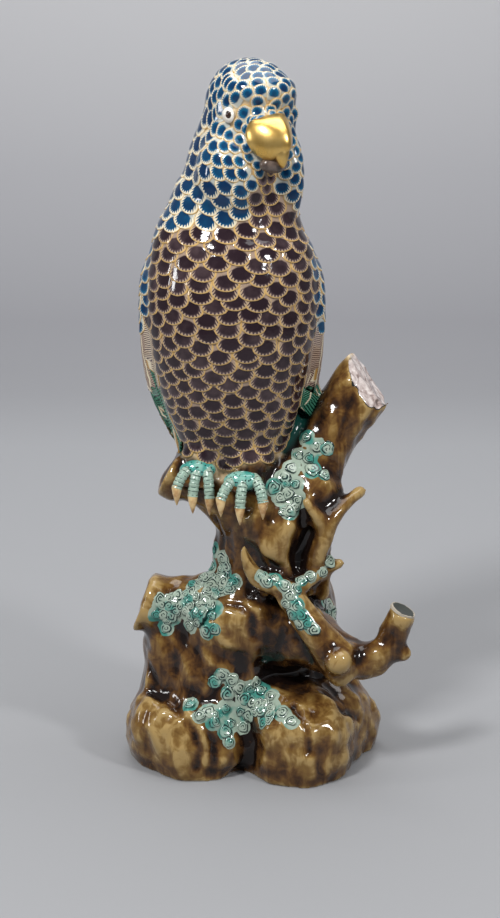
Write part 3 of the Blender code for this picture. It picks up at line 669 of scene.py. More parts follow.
def dress_skin(skin, toes):
    """Carves the stump, sinks the ground under scales and toes, and writes what the glaze reads."""
    bird = skin.blurred(np.array([float(is_bird(place)) for place in skin.places]), 2)
    angles = np.array([abs(around(place)) for place in skin.places])
    plume = (skin.places[:, 2] < PLUME_TOP) & (angles > WING_EDGE_DEG - 8)
    foot = (skin.places[:, 2] < FOOT_TOP) & (skin.normals[:, 2] < FOOT_FACING)
    clear = (1 - bird) * np.clip(skin.places[:, 2] / CALM_BASE, 0, 1) * ~foot
    plume = skin.blurred(plume.astype(float), 1)
    folds = np.array([bark(place) for place in skin.places])
    carved = BARK_RELIEF * skin.blurred(folds, 2) * clear
    for (width, depth), *line in GROOVES:
        gap = distances(skin.places, resampled(line)) / (width * MM)
        carved = np.maximum(carved, depth * MM * np.exp(-gap**2) * clear)
    skin.sink(carved)
    smooth = skin.blurred(skin.places, 10)
    near = ((skin.places - smooth) * skin.normals).sum(1)
    far = ((skin.places - skin.blurred(smooth, 40, 0.9)) * skin.normals).sum(1)
    # tone from shape: the glaze's own thinning and pooling, and with it painted highlight on ridges and
    # painted shade in hollows and creases
    ridge = RIDGE_MIDDLE + near / RIDGE_NEAR + far / RIDGE_FAR
    # glaze spots: pale and dark glaze, and some dark spots that are painted shade in a crevice and under
    # the log's overhang
    for x, y, z, reach, shift in GLAZE_SPOTS:
        ridge += shift * np.exp(-(skin.gaps(x, y, z) / reach)**2)
    # darker towards the bottom, over the lowest FOOT_DARK_TOP
    ridge -= FOOT_DARKER * np.clip(1 - skin.places[:, 2] / FOOT_DARK_TOP, 0, 1)
    facing = np.max([skin.normals @ np.array(facet) for facet in BRANCH_FACETS], 0)
    cut = (facing > BRANCH_FACING) & (skin.gaps(*BRANCH_TOP) < BRANCH_REACH)
    moss = np.zeros(len(ridge))
    for x, y, z, reach in (spot for spots in MOSS.values() for spot in spots):
        moss = np.maximum(moss, np.clip((reach + 1.8 - skin.gaps(x, y, z)) / 2.0, 0, 1))
    layers = {
        "ridge": skin.blurred(ridge, 2), "bird": bird, "plume": plume, "moss": moss,
        "cut": skin.blurred(cut.astype(float), 2), "biscuit": foot.astype(float),
    }
    sunk = bird * GROUND_INSET
    for line in toes:
        gap = distances(skin.places, line)
        sunk = np.maximum(sunk, GROUND_INSET * np.clip((TOE_ROOM - gap) / TOE_ROOM_EDGE, 0, 1))
    skin.sink(sunk)
    mesh = skin.obj.data
    for name, values in layers.items():
        write_attribute(mesh, name, values)
    mesh.materials.clear()
    mesh.materials.append(stump_paint())
    mesh.shade_smooth()


class Tiles:
    """Small closed tiles gathered into one piece, each with its own across and along values."""

    def __init__(self):
        self.places = []
        self.faces = []
        self.uv = []
        self.half = []
        self.tone = []

    def take(self, rows):
        """Takes in rows of (place, (across, along), ...), and gives back the places' numbers."""
        numbers = []
        for row in rows:
            numbers.append([len(self.places) + k for k in range(len(row))])
            self.places.extend(entry[0] for entry in row)
            self.uv.extend(entry[1] for entry in row)
        return numbers

    def end_tile(self, half_width, tone):
        """Gives the places of the last tile its half width and tone."""
        added = len(self.places) - len(self.half)
        self.half.extend([half_width / MM] * added)
        self.tone.extend([tone] * added)

    def add(self, rows, half_width, tone):
        """A grid of (place, (across, along), how far down the tile's edge goes there)."""
        top = self.take(rows)
        for lower, upper in zip(top, top[1:]):
            for k in range(len(lower) - 1):
                self.faces.append((lower[k], lower[k + 1], upper[k + 1], upper[k]))
        rim = top[0] + [row[-1] for row in top[1:-1]] + top[-1][::-1] + [row[0] for row in top[-2:0:-1]]
        base = len(self.places)
        for index in rim:
            r, c = divmod(index - top[0][0], len(top[0]))
            place, value, down = rows[r][c]
            self.places.append(place + down)
            self.uv.append(value)
        count = len(rim)
        for k in range(count):
            following = (k + 1) % count
            self.faces.append((rim[k], base + k, base + following, rim[following]))
        self.faces.append(tuple(base + k for k in range(count - 1, -1, -1)))
        self.end_tile(half_width, tone)

    def add_round(self, rows, half_width, tone):
        """Rings of (place, (across, along)), closed by a cap at each end."""
        rings = self.take(rows)
        for inner, outer in zip(rings, rings[1:]):
            for k in range(len(inner)):
                following = (k + 1) % len(inner)
                self.faces.append((inner[k], outer[k], outer[following], inner[following]))
        self.faces.append(tuple(rings[0]))
        self.faces.append(tuple(reversed(rings[-1])))
        self.end_tile(half_width, tone)

    def piece(self, name, material, sharp_deg=50):
        mesh = bpy.data.meshes.new(name)
        mesh.from_pydata([tuple(place) for place in self.places], [], self.faces)
        layer = mesh.uv_layers.new(name="tile")
        corners = np.empty(len(mesh.loops), np.int32)
        mesh.loops.foreach_get("vertex_index", corners)
        layer.data.foreach_set("uv", np.array(self.uv, np.float32)[corners].ravel())
        write_attribute(mesh, "half_width", self.half)
        write_attribute(mesh, "tone", self.tone)
        bm = bmesh.new()
        bm.from_mesh(mesh)
        bmesh.ops.recalc_face_normals(bm, faces=bm.faces)
        piece = visible(name, bm, mesh, material)
        mesh.set_sharp_from_angle(angle=math.radians(sharp_deg))
        return piece


def dress(obj):
    """Makes a piece ride on the figure."""
    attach(obj, "root")
    return obj


def visible(name, bm, mesh, material):
    """Writes faces into their mesh, and shows it smooth, in one material."""
    bm.to_mesh(mesh)
    bm.free()
    mesh.materials.append(material)
    mesh.shade_smooth()
    return dress(link_object(name, mesh))


SCALE_ROWS = (
    # along, half width: from the covered root to the rounded tip, as shares of the scale's size
    (-1.00, 0.72), (-0.66, 0.88), (-0.33, 0.96),
    *((math.sin(math.radians(k)), math.cos(math.radians(k))) for k in (0, 18, 36, 52, 66, 79)),
)
SCALE_COLUMNS = (-1.0, -0.86, -0.55, -0.2, 0.2, 0.55, 0.86, 1.0)


def add_scale(tiles, surface, place, flow, half_width, length, tone):
    """One domed scale laid on the surface, its tip pointing along flow."""
    _, normal = surface.seat(place)
    flow = (flow - normal * flow.dot(normal)).normalized()
    side = flow.cross(normal)
    root, tip = SCALE_ROWS[0][0], SCALE_ROWS[-1][0]
    rows = []
    for along, wide in SCALE_ROWS:
        rise = (along - root) / (tip - root)
        ahead = flow * along * (length if along > 0 else half_width)
        row = []
        for column in SCALE_COLUMNS:
            across = column * wide
            seat, out = surface.seat(place + side * across * half_width + ahead)
            dome = SCALE_DOME * (1 - column**2) * math.sin(math.pi * min(rise, 0.99))
            sunk = SCALE_EDGE_SUNK if abs(column) == 1.0 or along == tip else SCALE_SUNK
            lift = SCALE_TILT * (rise - 1.0) + dome - sunk
            row.append((seat + out * lift, (across, along), -out * SCALE_DEPTH))
        rows.append(row)
    tiles.add(rows, half_width, tone)


def fall(place):
    """How much the feathers at a place hang down, and not away from the beak: 0 to 1."""
    return float(np.interp((place - BEAK_ROOT).length / MM, (12, 30, 90), (0.10, 0.24, 0.88)))


def scale_flow(place):
    """The way the feathers lie at a place: away from the beak on the head, and down below it."""
    share = fall(place)
    return (place - BEAK_ROOT).normalized() * (1 - share) + Vector((0, 0, -1)) * share


def scale_order(place):
    """How far along the feathers' run a place lies, which grows from the beak back and down."""
    share = fall(place)
    return (place - BEAK_ROOT).length * (1 - share) + (BEAK_ROOT.z - place.z) * share


def scale_size(place):
    """Width of a scale at a place, and how far apart the rows are, in metres."""
    distance = (place - BEAK_ROOT).length / MM
    height = place.z / MM
    widths = ((8, 16, 25, 41, 60, 110, 170), (5.2, 6.6, 8.4, 12.2, 13.4, 13.2, 12.0))
    width = float(np.interp(distance, *widths))
    share = float(np.interp(distance, (15, 30, 45, 60), (0.55, 0.50, 0.48, 0.43)))
    if abs(around(place)) > WING_EDGE_DEG and height < 296:
        width *= 0.8
        share = 0.52
    if height > 351:
        width = float(np.interp(distance, (8, 20, 40), (6.0, 7.8, 9.6)))
        share = float(np.interp(distance, (16, 24, 34), (0.66, 0.52, 0.36)))
    return width * MM, width * share * MM


def wears_scales(place):
    """True where the bird is covered by scales, and not by the beak, an eye, a wing or the tail."""
    height = place[2] / MM
    if height < 168 or not is_bird(place):
        return False
    spot = Vector(place)
    if any((spot - bare).length < reach * MM for bare, reach in BARE_PLACES):
        return False
    angle = abs(around(place))
    if angle > WING_EDGE_DEG - 5 and height < 238:
        return False
    return not (height < 176 and angle > 62)


def sample_skin(surface, random):
    """Evenly scattered places on the scaled skin, with their normals."""
    corners = surface.places[surface.triangles]
    middles = corners.mean(1)
    kept = np.array([wears_scales(middle) for middle in middles])
    corners = corners[kept]
    normals = surface.normals[surface.triangles[kept]].mean(1)
    first, second = corners[:, 1] - corners[:, 0], corners[:, 2] - corners[:, 0]
    areas = np.linalg.norm(np.cross(first, second), axis=1) / 2
    chosen = random.choice(len(corners), SCALE_SAMPLES, p=areas / areas.sum())
    shares = random.random((SCALE_SAMPLES, 2))
    flip = shares.sum(1) > 1
    shares[flip] = 1 - shares[flip]
    places = corners[chosen, 0] + shares[:, :1] * first[chosen]
    places += shares[:, 1:] * second[chosen]
    normals = normals[chosen]
    return places, normals / np.linalg.norm(normals, axis=1)[:, None]


def scale_frame(place, normal):
    """Axes in which neighbouring scales lie one unit apart: across, along and out."""
    flow = scale_flow(place)
    flow = (flow - normal * flow.dot(normal)).normalized()
    width, rows = scale_size(place)
    return flow.cross(normal) / width, flow * 0.866 / rows, normal / width


def spread_scales(surface, random):
    """Places of the scales: laid row by row away from the beak, and then evened out."""
    places, normals = sample_skin(surface, random)
    order = np.argsort([scale_order(Vector(place)) for place in places])
    frames = np.empty((len(places), 3, 3))
    shifts = np.empty((len(places), 3))
    chosen = []
    for k in order:
        count = len(chosen)
        gaps = (((frames[:count] @ places[k]) - shifts[:count]) ** 2).sum(1)
        if count and gaps.min() < SCALE_CLOSEST**2:
            continue
        frames[count] = scale_frame(Vector(places[k]), Vector(normals[k]))
        shifts[count] = frames[count] @ places[k]
        chosen.append(k)
    middles = places[chosen]
    for _ in range(SCALE_ROUNDS):
        seats = [surface.seat(Vector(middle)) for middle in middles]
        frames = np.array([scale_frame(*seat) for seat in seats])
        shifts = np.einsum("kij,kj->ki", frames, np.array([seat for seat, _ in seats]))
        owner = np.empty(len(places), int)
        for start in range(0, len(places), SCALE_BLOCK):
            block = places[start:start + SCALE_BLOCK]
            parts = np.einsum("kij,bj->kbi", frames, block) - shifts[:, None, :]
            owner[start:start + SCALE_BLOCK] = (parts**2).sum(2).argmin(0)
        held = np.bincount(owner, minlength=len(middles))
        middles = np.stack([np.bincount(owner, places[:, i], len(middles)) for i in range(3)], 1)
        middles = middles[held > 0] / held[held > 0][:, None]
    return [surface.seat(Vector(middle))[0] for middle in middles]


def scale_zone(place):
    """The name of the piece that a scale at a place belongs to."""
    height, angle = place.z / MM, around(place)
    if abs(angle) > WING_EDGE_DEG and height < 290:
        return "wing_covert_scales"
    if height > level(NECKLACE, angle)[0]:
        return "head_scales"
    return "breast_scales"


def feather_scales(surface, random):
    """The painted scales of head, breast and wing coverts."""
    blue, mauve = (COBALT, TURQUOISE_BLUE, CREAM), (AUBERGINE, MAUVE, WARM_GROUND)
    paints = {
        "head_scales": scale_paint("blue_scales", *blue, 1.15, 1.1, 0.32),
        "breast_scales": scale_paint("aubergine_scales", *mauve, 0.75, 1.1, 0.80),
        "wing_covert_scales": scale_paint("covert_scales", *blue, 0.85, 1.0, 0.40),
    }
    zones = {name: Tiles() for name in paints}
    for place in spread_scales(surface, random):
        width, rows = scale_size(place)
        half = width / 2 * random.uniform(1.08, 1.18)
        length = max(rows * 0.80, half * 0.54) * random.uniform(0.95, 1.08)
        turn = Matrix.Rotation(random.uniform(-0.1, 0.1), 3, surface.seat(place)[1])
        tiles = zones[scale_zone(place)]
        add_scale(tiles, surface, place, turn @ scale_flow(place), half, length, random.random())
    return [tiles.piece(name, paints[name]) for name, tiles in zones.items()]


STRIP_STEPS = 18
STRIP_COLUMNS = (-1.0, -0.82, -0.4, 0.0, 0.4, 0.82, 1.0)
STRIP_BLUNT = 0.55
PRIMARY_HALF = 4.6 * MM
SECONDARY_HALF = 4.5 * MM
TAIL_HALF = 5.2 * MM


def add_strip(tiles, surface, route, half_width, tone, rise=0.9):
    """A long feather along a route of places, seated on the surface, with a rounded tip."""
    stops = np.linspace(0, len(route) - 1, STRIP_STEPS)
    columns = [np.interp(stops, range(len(route)), column) for column in zip(*route)]
    line = [Vector(place) for place in zip(*columns)]
    rows = []
    travelled = 0.0
    for r, place in enumerate(line):
        along = r / (STRIP_STEPS - 1)
        ahead = (line[min(r + 1, STRIP_STEPS - 1)] - line[max(r - 1, 0)]).normalized()
        travelled += (place - line[r - 1]).length / MM if r else 0.0
        _, normal = surface.seat(place)
        side = ahead.cross(normal).normalized()
        from_tip = (1 - along) * (line[-1] - line[0]).length / half_width
        wide = math.sqrt(max(1 - (1 - min(from_tip / STRIP_BLUNT, 1.0)) ** 2, 0.03))
        wide *= min(0.75 + along, 1.0)
        row = []
        for column in STRIP_COLUMNS:
            seat, out = surface.seat(place + side * column * wide * half_width)
            sunk = 0.25 if abs(column) == 1 else 0.1
            lift = (rise * (along - 1.0) + 0.25 * (1 - column**2) - sunk) * MM
            row.append((seat + out * lift, (column * (0.3 + 0.7 * wide), travelled), -out * SCALE_DEPTH))
        rows.append(row)
    tiles.add(rows, half_width, tone)


def wing_route(side, turn, heights, stops):
    """Places beside the bird from the first angle and height to the last ones."""
    angles = [turn[0] + (turn[1] - turn[0]) * t for t in stops]
    levels = [heights[0] + (heights[1] - heights[0]) * t for t in stops]
    return [beside_bird(side * angle, height) for angle, height in zip(angles, levels)]


def wing_feathers(surface, random):
    """The banded secondaries and green primaries of both wings."""
    bars = plume_paint("banded_plumes", (0.085, 0.040, 0.036), (0.36, 0.24, 0.20), CREAM, 0.9)
    leaf = (0.012, 0.130, 0.075)
    greens = plume_paint("green_plumes", (0.004, 0.040, 0.025), leaf, (0.10, 0.30, 0.20), 0.7)
    banded, green = Tiles(), Tiles()
    for side, tip in ((-1, 176), (1, 196)):
        for share in np.arange(10) / 9:
            front = WING_EDGE_DEG - 1 + share * 88
            turn = (front, min(front + 4 + 8 * share, 172))
            route = wing_route(side, turn, (224 - 6 * share, tip - 36 * share), (0, 0.35, 0.7, 1))
            add_strip(green, surface, route, PRIMARY_HALF, random.random())
        for share in np.arange(11) / 10:
            front = WING_EDGE_DEG - 1 + share * 92
            turn = (front, min(front + 3, 176))
            route = wing_route(side, turn, (246 - 3 * share, 207 - 12 * share), (0, 0.5, 1))
            add_strip(banded, surface, route, SECONDARY_HALF, random.random())
    return [green.piece("wing_primaries", greens), banded.piece("wing_secondaries", bars)]


def tail_feathers(surface, random):
    """Long blue-green feathers down the back of the trunk."""
    paint = plume_paint("tail_plumes", (0.006, 0.05, 0.12), (0.02, 0.22, 0.30), (0.10, 0.45, 0.42), 0.6)
    tiles = Tiles()
    for spread, length in ((-1.0, 0.80), (1.0, 0.80), (-0.6, 0.9), (0.6, 0.9), (-0.2, 1.0), (0.25, 1.0)):
        top = at(-16 + 11 * spread, 42, 196)
        tip = at(-6.5 + 6 * spread, 40, 196 - 120 * length)
        route = [top.lerp(tip, t) for t in (0, 0.33, 0.66, 1)]
        add_strip(tiles, surface, route, TAIL_HALF, random.random(), rise=1.2)
    return tiles.piece("tail_feathers", paint)


MOSS = {
    # patches of moss as places in millimetres with the radius that each covers
    "moss_on_fork": (
        (21, -9, 182, 4), (26, -13, 178, 4.5), (32, -13, 177, 3), (17, -11, 173, 3.5),
        (22, -14, 172, 4), (13, -16, 167, 4.5), (24, -18, 167, 4.5), (31, -20, 165, 3),
        (9, -20, 163, 4.5), (15, -22, 160, 4), (4, -22, 158, 4.5), (11, -24, 155, 4),
        (16, -25, 152, 4.5), (12, -28, 147, 4.5), (7, -24, 153, 4),
    ),
    "moss_on_log": (
        (-29, -5, 118, 4), (-24, -12, 115, 4), (-30, -4, 108, 4), (-23, -14, 107, 5),
        (-17, -21, 105, 3.5), (-33, -11, 103, 5), (-28, -18, 100, 5), (-39, -13, 100, 4.5),
        (-42, -19, 95, 5), (-33, -23, 95, 5), (-50, -16, 92, 5), (-57, -16, 90, 4.5), (-44, -20, 88, 5),
        (-36, -26, 86, 5), (-29, -28, 92, 5), (-60, -17, 85, 4), (-52, -17, 84, 5), (-55, -17, 77, 4),
        (-42, -22, 80, 4), (-33, -30, 80, 4.5), (-28, -32, 82, 3), (-22, -20, 101, 4),
    ),
    "moss_on_twigs": (
        (-3, -35, 113, 3), (4, -38, 113, 3.5), (0, -38, 111, 3), (9, -41, 110, 3.5),
        (12, -43, 105, 3.5), (16, -40, 108, 3), (10, -43, 100, 3), (16, -45, 100, 3.5),
        (18, -46, 95, 3.5), (13, -45, 95, 3), (21, -48, 91, 3.2), (17, -47, 90, 2.5), (23, -48, 88, 2),
        (23, -31, 111, 2.6), (29, -28, 113, 2.6), (33, -26, 118, 2.6), (18, -34, 110, 2.6),
    ),
    "moss_behind_hook": ((32, -7, 90, 3.5), (35, 1, 83, 4), (38, 6, 77, 4), (33, -3, 86, 3.5)),
    "moss_on_base": (
        (-24, -33, 56, 3.5), (-28, -33, 52, 3), (-19, -33, 53, 3.5), (-15, -32, 48, 4),
        (-9, -30, 47, 4.5), (-21, -35, 46, 3.5), (-12, -32, 42, 4.5), (-3, -29, 46, 4.5),
        (2, -34, 45, 4), (-5, -35, 40, 5), (2, -39, 40, 5), (8, -45, 40, 4.5), (13, -50, 37, 4),
        (-1, -42, 35, 4.5), (-14, -34, 35, 4.5), (-22, -36, 38, 4.5), (-31, -40, 38, 4.5),
        (-36, -42, 37, 4), (-42, -34, 40, 4), (-28, -42, 33, 4.5), (-19, -37, 30, 4.5),
        (-13, -35, 27, 3.5), (-22, -41, 27, 4), (-20, -44, 22, 3),
    ),
}
LOBE_RADIUS = 3.1 * MM
LOBE_SPACING = 3.7 * MM
LOBE_RISE = 0.48 * MM
LOBE_TRIES = 20
LOBE_SIDES = 16
LOBE_RINGS = ((0.04, 1.0), (0.35, 0.93), (0.62, 0.76), (0.84, 0.48), (0.97, 0.18), (1.03, -0.35))


def add_lobe(tiles, surface, place, radius, tone):
    """A low round cushion of moss."""
    _, normal = surface.seat(place)
    side = normal.orthogonal().normalized()
    other = normal.cross(side)
    rows = []
    for share, height in LOBE_RINGS:
        row = []
        for k in range(LOBE_SIDES):
            angle = 2 * math.pi * (k / LOBE_SIDES + tone)
            wobble = 1 + 0.10 * math.sin(3 * angle + 11 * tone) + 0.06 * math.sin(5 * angle)
            offset = (side * math.cos(angle) + other * math.sin(angle)) * radius * share * wobble
            seat, out = surface.seat(place + offset)
            value = (math.cos(angle) * share, math.sin(angle) * share)
            row.append((seat + out * LOBE_RISE * height, value))
        rows.append(row)
    tiles.add_round(rows, radius, tone)


def moss(surface, random):
    """Patches of curly moss: lobes spread over each patch, kept a spacing apart."""
    material = moss_paint()
    pieces = []
    for name, spots in MOSS.items():
        tiles = Tiles()
        kept = []
        for x, y, z, reach in spots:
            for trial in range(LOBE_TRIES):
                offset = Vector(random.normal(size=3)).normalized() * reach * MM * (0.8 if trial else 0)
                place, _ = surface.seat(at(x, y, z) + offset)
                if all((place - other).length > LOBE_SPACING for other in kept):
                    kept.append(place)
                    radius = LOBE_RADIUS * random.uniform(0.8, 1.3)
                    add_lobe(tiles, surface, place, radius, random.random())
        pieces.append(tiles.piece(name, material))
    return pieces


def loft(rings, name, material, sharp_deg=60):
    """A closed piece through equally long rings of (place, (across, along))."""
    tiles = Tiles()
    tiles.add_round(rings, 1 * MM, 0.5)
    return tiles.piece(name, material, sharp_deg)


BEAK_LEVELS = (
    # height, then x and y of the left edge, of the ridge and of the right edge, in millimetres
    (354.0, 0, -24.5, 4.5, -25.5, 7, -21), (352.3, -7, -28.5, 5.4, -30.8, 8.5, -21.5),
    (349.0, -10.4, -30.2, 7.4, -35, 9.8, -22.5), (344.5, -11.8, -31.2, 9.0, -38.2, 10.9, -23.5),
    (340.0, -11.2, -32, 9.7, -39.2, 11.2, -25), (336.5, -9, -32.4, 9.3, -38.8, 11.0, -27),
    (333.8, -6.2, -33, 6.4, -37.5, 9, -29), (332.0, -3.2, -33.6, 3.4, -36.2, 5.8, -31.5),
    (331.0, -1, -34, 1.6, -35, 3.2, -33),
)
BEAK_HOOK = (
    # x, y, height and radius down the ridge to the tip, in millimetres
    (5.6, -31.0, 344.5, 3.2), (6.2, -33.0, 340.0, 4.2), (6.5, -34.4, 336.8, 4.5),
    (6.6, -35.2, 334.0, 4.1), (6.9, -35.6, 331.4, 3.0), (7.2, -35.4, 329.0, 1.8),
    (7.3, -35.0, 327.3, 0.6),
)


def beak():
    """Gilt upper beak: a broad near side, and a ridge down its right edge that ends in a hook."""
    rings = []
    for r, (height, *edges) in enumerate(BEAK_LEVELS):
        left, ridge, right = (at(*edges[k:k + 2], height) for k in (0, 2, 4))
        back = (left + right) / 2 + at(0, 5, 0)
        middle = (left + ridge) / 2 + at(-0.8, -2.4, 0) * min((ridge - left).length / (12 * MM), 1.4)
        far = (ridge + right) / 2 + at(1.3, -1.0, 0) * min((ridge - right).length / (12 * MM), 1.2)
        knots = [left, middle, ridge, far, right, back]
        ring = []
        for k in range(len(knots)):
            a, b, c, d = (knots[(k + step) % len(knots)] for step in (-1, 0, 1, 2))
            for t in (step / 6 for step in range(6)):
                curve = (2 * a - 5 * b + 4 * c - d) * t**2 + (3 * b - a - 3 * c + d) * t**3
                ring.append(0.5 * (2 * b + (c - a) * t + curve))
        rings.append([(place, (k / len(ring), r)) for k, place in enumerate(ring)])
    gilding = gold_paint()
    ridge = [(at(x, y, z), radius * MM) for x, y, z, radius in BEAK_HOOK]
    pieces = [loft(rings, "upper_beak", gilding, sharp_deg=80), tube(ridge, "beak_hook", gilding, 20)]
    for piece in pieces:
        rounding = piece.modifiers.new("rounding", "SUBSURF")
        rounding.levels = rounding.render_levels = 2
    return pieces


def ball_piece(name, place, radii, material, turn_deg=0.0, tilt_deg=0.0):
    """A rounded piece with its radii in millimetres, finely meshed."""
    bm = bmesh.new()
    matrix = (
        Matrix.Translation(place) @ Matrix.Rotation(math.radians(turn_deg), 4, "Z")
        @ Matrix.Rotation(math.radians(tilt_deg), 4, "X") @ Matrix.Diagonal((*at(*radii), 1))
    )
    bmesh.ops.create_icosphere(bm, subdivisions=5, radius=1, matrix=matrix)
    return visible(name, bm, bpy.data.meshes.new(name), material)


def face_pieces():
    """Lower beak, made wide enough that its dark brown also covers the throat under the upper beak as
    painted shade, and the eyes: a white ring round a dark pupil.
    """
    white = plain_paint("eye_white", (0.82, 0.80, 0.74), (0.66, 0.60, 0.52), 400.0)
    dark = plain_paint("pupil", (0.012, 0.008, 0.006), (0.06, 0.022, 0.010), 500.0, coat=0.5)
    horn = plain_paint("lower_beak_glaze", (0.13, 0.095, 0.078), (0.055, 0.038, 0.032), 300.0)
    # the lower beak also spreads over the throat, where its dark brown is painted shade
    pieces = [ball_piece("lower_beak_and_throat_shade", at(2.8, -31.2, 328.8), (7.6, 4.6, 4.4), horn, 24)]
    for name, place, turn in (("near", EYE_PLACE, -36), ("far", FAR_EYE_PLACE, 86)):
        out = Matrix.Rotation(math.radians(turn), 3, "Z") @ Vector((0, -1, 0))
        side = out.cross(Vector((0, 0, 1)))
        pieces.append(ball_piece(f"{name}_eye_ring", place, (3.5, 2.0, 4.0), white, turn))
        pupil = place + (out * 1.25 - side * 0.9) * MM + at(0, 0, 0.3)
        pieces.append(ball_piece(f"{name}_pupil", pupil, (1.8, 1.0, 2.1), dark, turn))
    return pieces


TOE_RADIUS = 3.0 * MM
TOE_STEPS = 32
CLAW_STEPS = (-0.12, 0, 0.15, 0.35, 0.6, 0.8, 0.93, 1.0)
FEET = {
    # ankle place, sideways spread of the toes, and how much lower each toe ends, in millimetres
    "left": ((-33.55, -13.15, 169.5), (-13.5, -5.5, 3), (4.5, 0, -1)),
    "right": ((-10.15, -21.15, 165.5), (-13.5, -4, 7.5), (4.5, 0, 3)),
}


def tube(route, name, material, sections=16, values_scale=1.0):
    """A closed round piece through (place, radius) pairs, with along values in millimetres."""
    rings = []
    travelled = 0.0
    for r, (place, radius) in enumerate(route):
        ahead = (route[min(r + 1, len(route) - 1)][0] - route[max(r - 1, 0)][0]).normalized()
        side = ahead.cross(Vector((0, 1, 0))).normalized()
        other = ahead.cross(side)
        travelled += (place - route[r - 1][0]).length / MM if r else 0.0
        ring = []
        for k in range(sections):
            angle = 2 * math.pi * k / sections
            offset = (side * math.cos(angle) + other * math.sin(angle)) * radius
            ring.append((place + offset, (k / sections, travelled * values_scale)))
        rings.append(ring)
    return loft(rings, name, material)


def bezier(a, b, c, t):
    return a * (1 - t) ** 2 + b * 2 * t * (1 - t) + c * t**2


def toe_lines():
    """For each toe its name, its centre line, and the claw's."""
    for side, (ankle, spreads, drops) in FEET.items():
        ankle = at(*ankle)
        for number, (spread, drop) in enumerate(zip(spreads, drops), 1):
            knuckle = ankle + at(spread * 0.80, -11.4, -1.2)
            tip = ankle + at(spread * 1.05, -13.6, drop - 15)
            start = ankle + at(spread * 0.42, -5, -1.5)
            claw = tip + at(0, -0.6, -9.2)
            toe = [bezier(start, knuckle, tip, k / TOE_STEPS) for k in range(TOE_STEPS + 1)]
            nail = [tip.lerp(claw, t) + at(0, -0.9 * math.sin(math.pi * t), 0) for t in CLAW_STEPS]
            yield f"{side}_toe_{number}", toe, nail


def feet():
    """Ringed toes with horn claws, and the dotted palms they spring from."""
    toe_skin, palm_skin = toe_paint(), palm_paint()
    horn = plain_paint("claw_horn", (0.62, 0.45, 0.22), (0.36, 0.19, 0.07), 260.0)
    pieces = []
    for side, (ankle, _, _) in FEET.items():
        middle = at(*ankle) + at(-3.2, -6.2, -2.4)
        pieces.append(ball_piece(f"{side}_palm", middle, (9.6, 5.2, 5.4), palm_skin, 0, 20))
    for name, toe, nail in toe_lines():
        rings = []
        for k, place in enumerate(toe):
            t = k / (len(toe) - 1)
            rings.append((place, TOE_RADIUS * (1 + 0.06 * math.cos(16 * math.pi * t)) * (1 - 0.08 * t)))
        pieces.append(tube(rings, name, toe_skin, values_scale=0.52))
        tapered = [
            (place, TOE_RADIUS * (0.92 - 0.84 * max(t, 0) ** 1.3)) for t, place in zip(CLAW_STEPS, nail)
        ]
        pieces.append(tube(tapered, name.replace("toe", "claw"), horn))
    return pieces


HOOK_END = ((72.4, -35.2, 94.0), (0.42, -0.1, 0.9), 7.2)
HOOK_RINGS = ((0.04, -0.2), (0.4, -0.1), (0.7, 0.2), (0.86, 0.5), (0.97, 0.3), (1.0, -0.9))


def hook_end():
    """A thin dark face over the hook's broken end."""
    place, normal, radius = HOOK_END
    middle, normal = at(*place), Vector(normal).normalized()
    side = Vector((0, 1, 0)).cross(normal).normalized()
    other = normal.cross(side)
    turns = [(math.cos(math.pi * k / 16), math.sin(math.pi * k / 16)) for k in range(32)]
    rings = []
    for share, height in HOOK_RINGS:
        ring = []
        for x, y in turns:
            offset = (side * x + other * y) * radius * share + normal * height
            ring.append((middle + offset * MM, (x * share, y * share)))
        rings.append(ring)
    tiles = Tiles()
    tiles.add_round(rings, radius * MM, 0.5)
    return tiles.piece("hook_end", end_paint())


FLOOR_FRONT = -1.6
CURVE_START = 0.9
CURVE_RADIUS = 0.7
CURVE_STEPS = 12
BACKDROP_TOP = 3.0
SWEEP_HALF = 2.2


def stage():
    """A pale sweep: floor, curve and backdrop in one sheet, its colour graded as painted light and
    shade.
    """
    profile = [(FLOOR_FRONT, 0.0), (CURVE_START, 0.0)]
    for k in range(1, CURVE_STEPS + 1):
        angle = math.radians(90 * k / CURVE_STEPS)
        across, up = math.sin(angle), 1 - math.cos(angle)
        profile.append((CURVE_START + CURVE_RADIUS * across, CURVE_RADIUS * up))
    profile.append((CURVE_START + CURVE_RADIUS, BACKDROP_TOP))
    mesh = bpy.data.meshes.new("studio_sweep")
    places = [(x, y, z) for y, z in profile for x in (-SWEEP_HALF, SWEEP_HALF)]
    faces = [(2 * k, 2 * k + 1, 2 * k + 3, 2 * k + 2) for k in range(len(profile) - 1)]
    mesh.from_pydata(places, [], faces)
    mesh.shade_smooth()
    paint = Paint("sweep_paper_painted_shading", roughness=0.8, coat=0.0)
    _, back, up = paint.parts(paint.where())
    # painted light and shade: darker on the floor, a darker dip where it turns up, and lighter up the
    # backdrop
    paint.colour(paint.ramp(
        (back + up) / 2.5, (0.0, (0.25, 0.253, 0.262)), (0.27, (0.33, 0.335, 0.35)),
        (0.46, (0.31, 0.31, 0.33)), (0.62, (0.42, 0.42, 0.44)), (0.85, (0.66, 0.66, 0.67)),
    ))
    mesh.materials.append(paint.material)
    floor = link_object("studio_sweep", mesh)


def lamp(name, place, aim, size, power):
    light = bpy.data.lights.new(name, "AREA")
    light.shape = "RECTANGLE"
    light.size, light.size_y = size
    light.energy = power
    obj = link_object(name, light)
    obj.location = place
    obj.rotation_euler = (Vector(aim) - Vector(place)).to_track_quat("-Z", "Y").to_euler()


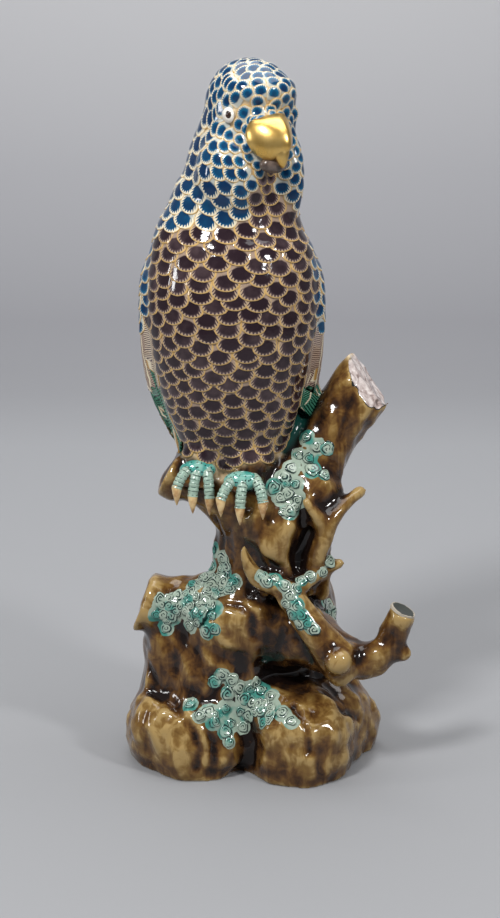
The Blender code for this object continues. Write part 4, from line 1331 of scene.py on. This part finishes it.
def studio():
    """Soft lamps, a pale world, and the camera of the photograph."""
    middle = (0, 0, 0.2)
    lamp("key_lamp", (-0.55, -0.80, 1.25), middle, (0.26, 0.20), 17)
    lamp("fill_lamp", (0.85, -0.75, 0.9), middle, (0.16, 0.22), 8)
    lamp("top_lamp", (0.1, 0.2, 1.5), middle, (1.5, 1.1), 19)
    lamp("window_lamp", (-1.1, -0.2, 0.5), middle, (0.10, 0.3), 2)
    world = bpy.data.worlds.new("studio_world")
    world.use_nodes = True
    world.node_tree.nodes["Background"].inputs["Color"].default_value = (0.85, 0.87, 0.92, 1)
    world.node_tree.nodes["Background"].inputs["Strength"].default_value = 0.22
    bpy.context.scene.world = world
    camera = bpy.data.cameras.new("photo_camera")
    camera.sensor_fit = "VERTICAL"
    camera.sensor_height = SENSOR_HEIGHT
    camera.lens = CAMERA_LENS
    obj = link_object("photo_camera", camera)
    obj.location = CAMERA_PLACE
    obj.rotation_euler = (math.radians(90 - CAMERA_TILT_DEG), 0, 0)
    bpy.context.scene.camera = obj
    bpy.context.scene.view_settings.view_transform = "Standard"


def keep_inside(pieces, low, high):
    """Presses the few points that reach past the solid's own box back onto it."""
    for piece in pieces:
        places = read_vectors(piece.data.vertices, "co")
        pressed = np.clip(places, np.array(low), np.array(high))
        piece.data.vertices.foreach_set("co", pressed.astype(np.float32).ravel())
        piece.data.update()


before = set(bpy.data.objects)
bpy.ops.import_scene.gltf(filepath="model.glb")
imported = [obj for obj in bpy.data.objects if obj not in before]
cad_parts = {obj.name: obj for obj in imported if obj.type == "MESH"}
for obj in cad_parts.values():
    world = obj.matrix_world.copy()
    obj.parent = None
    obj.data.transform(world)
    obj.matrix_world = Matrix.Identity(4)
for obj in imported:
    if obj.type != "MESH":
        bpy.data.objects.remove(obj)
solid_low, solid_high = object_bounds()
random = np.random.default_rng(7)
skin = Skin(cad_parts[NODE])
surface = Surface(skin.obj.data)
plumage = Surface(skin.obj.data, is_bird)
toe_routes = [np.array([*toe[8:], *nail]) for _, toe, nail in toe_lines()]
dress_skin(skin, toe_routes)
body = dress(skin.obj)
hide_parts(NODE)
made = [body, *feather_scales(surface, random), *wing_feathers(plumage, random)]
made += [tail_feathers(plumage, random), *moss(surface, random)]
made += [*beak(), *face_pieces(), *feet(), hook_end()]
keep_inside(made, solid_low, solid_high)
stage()
studio()
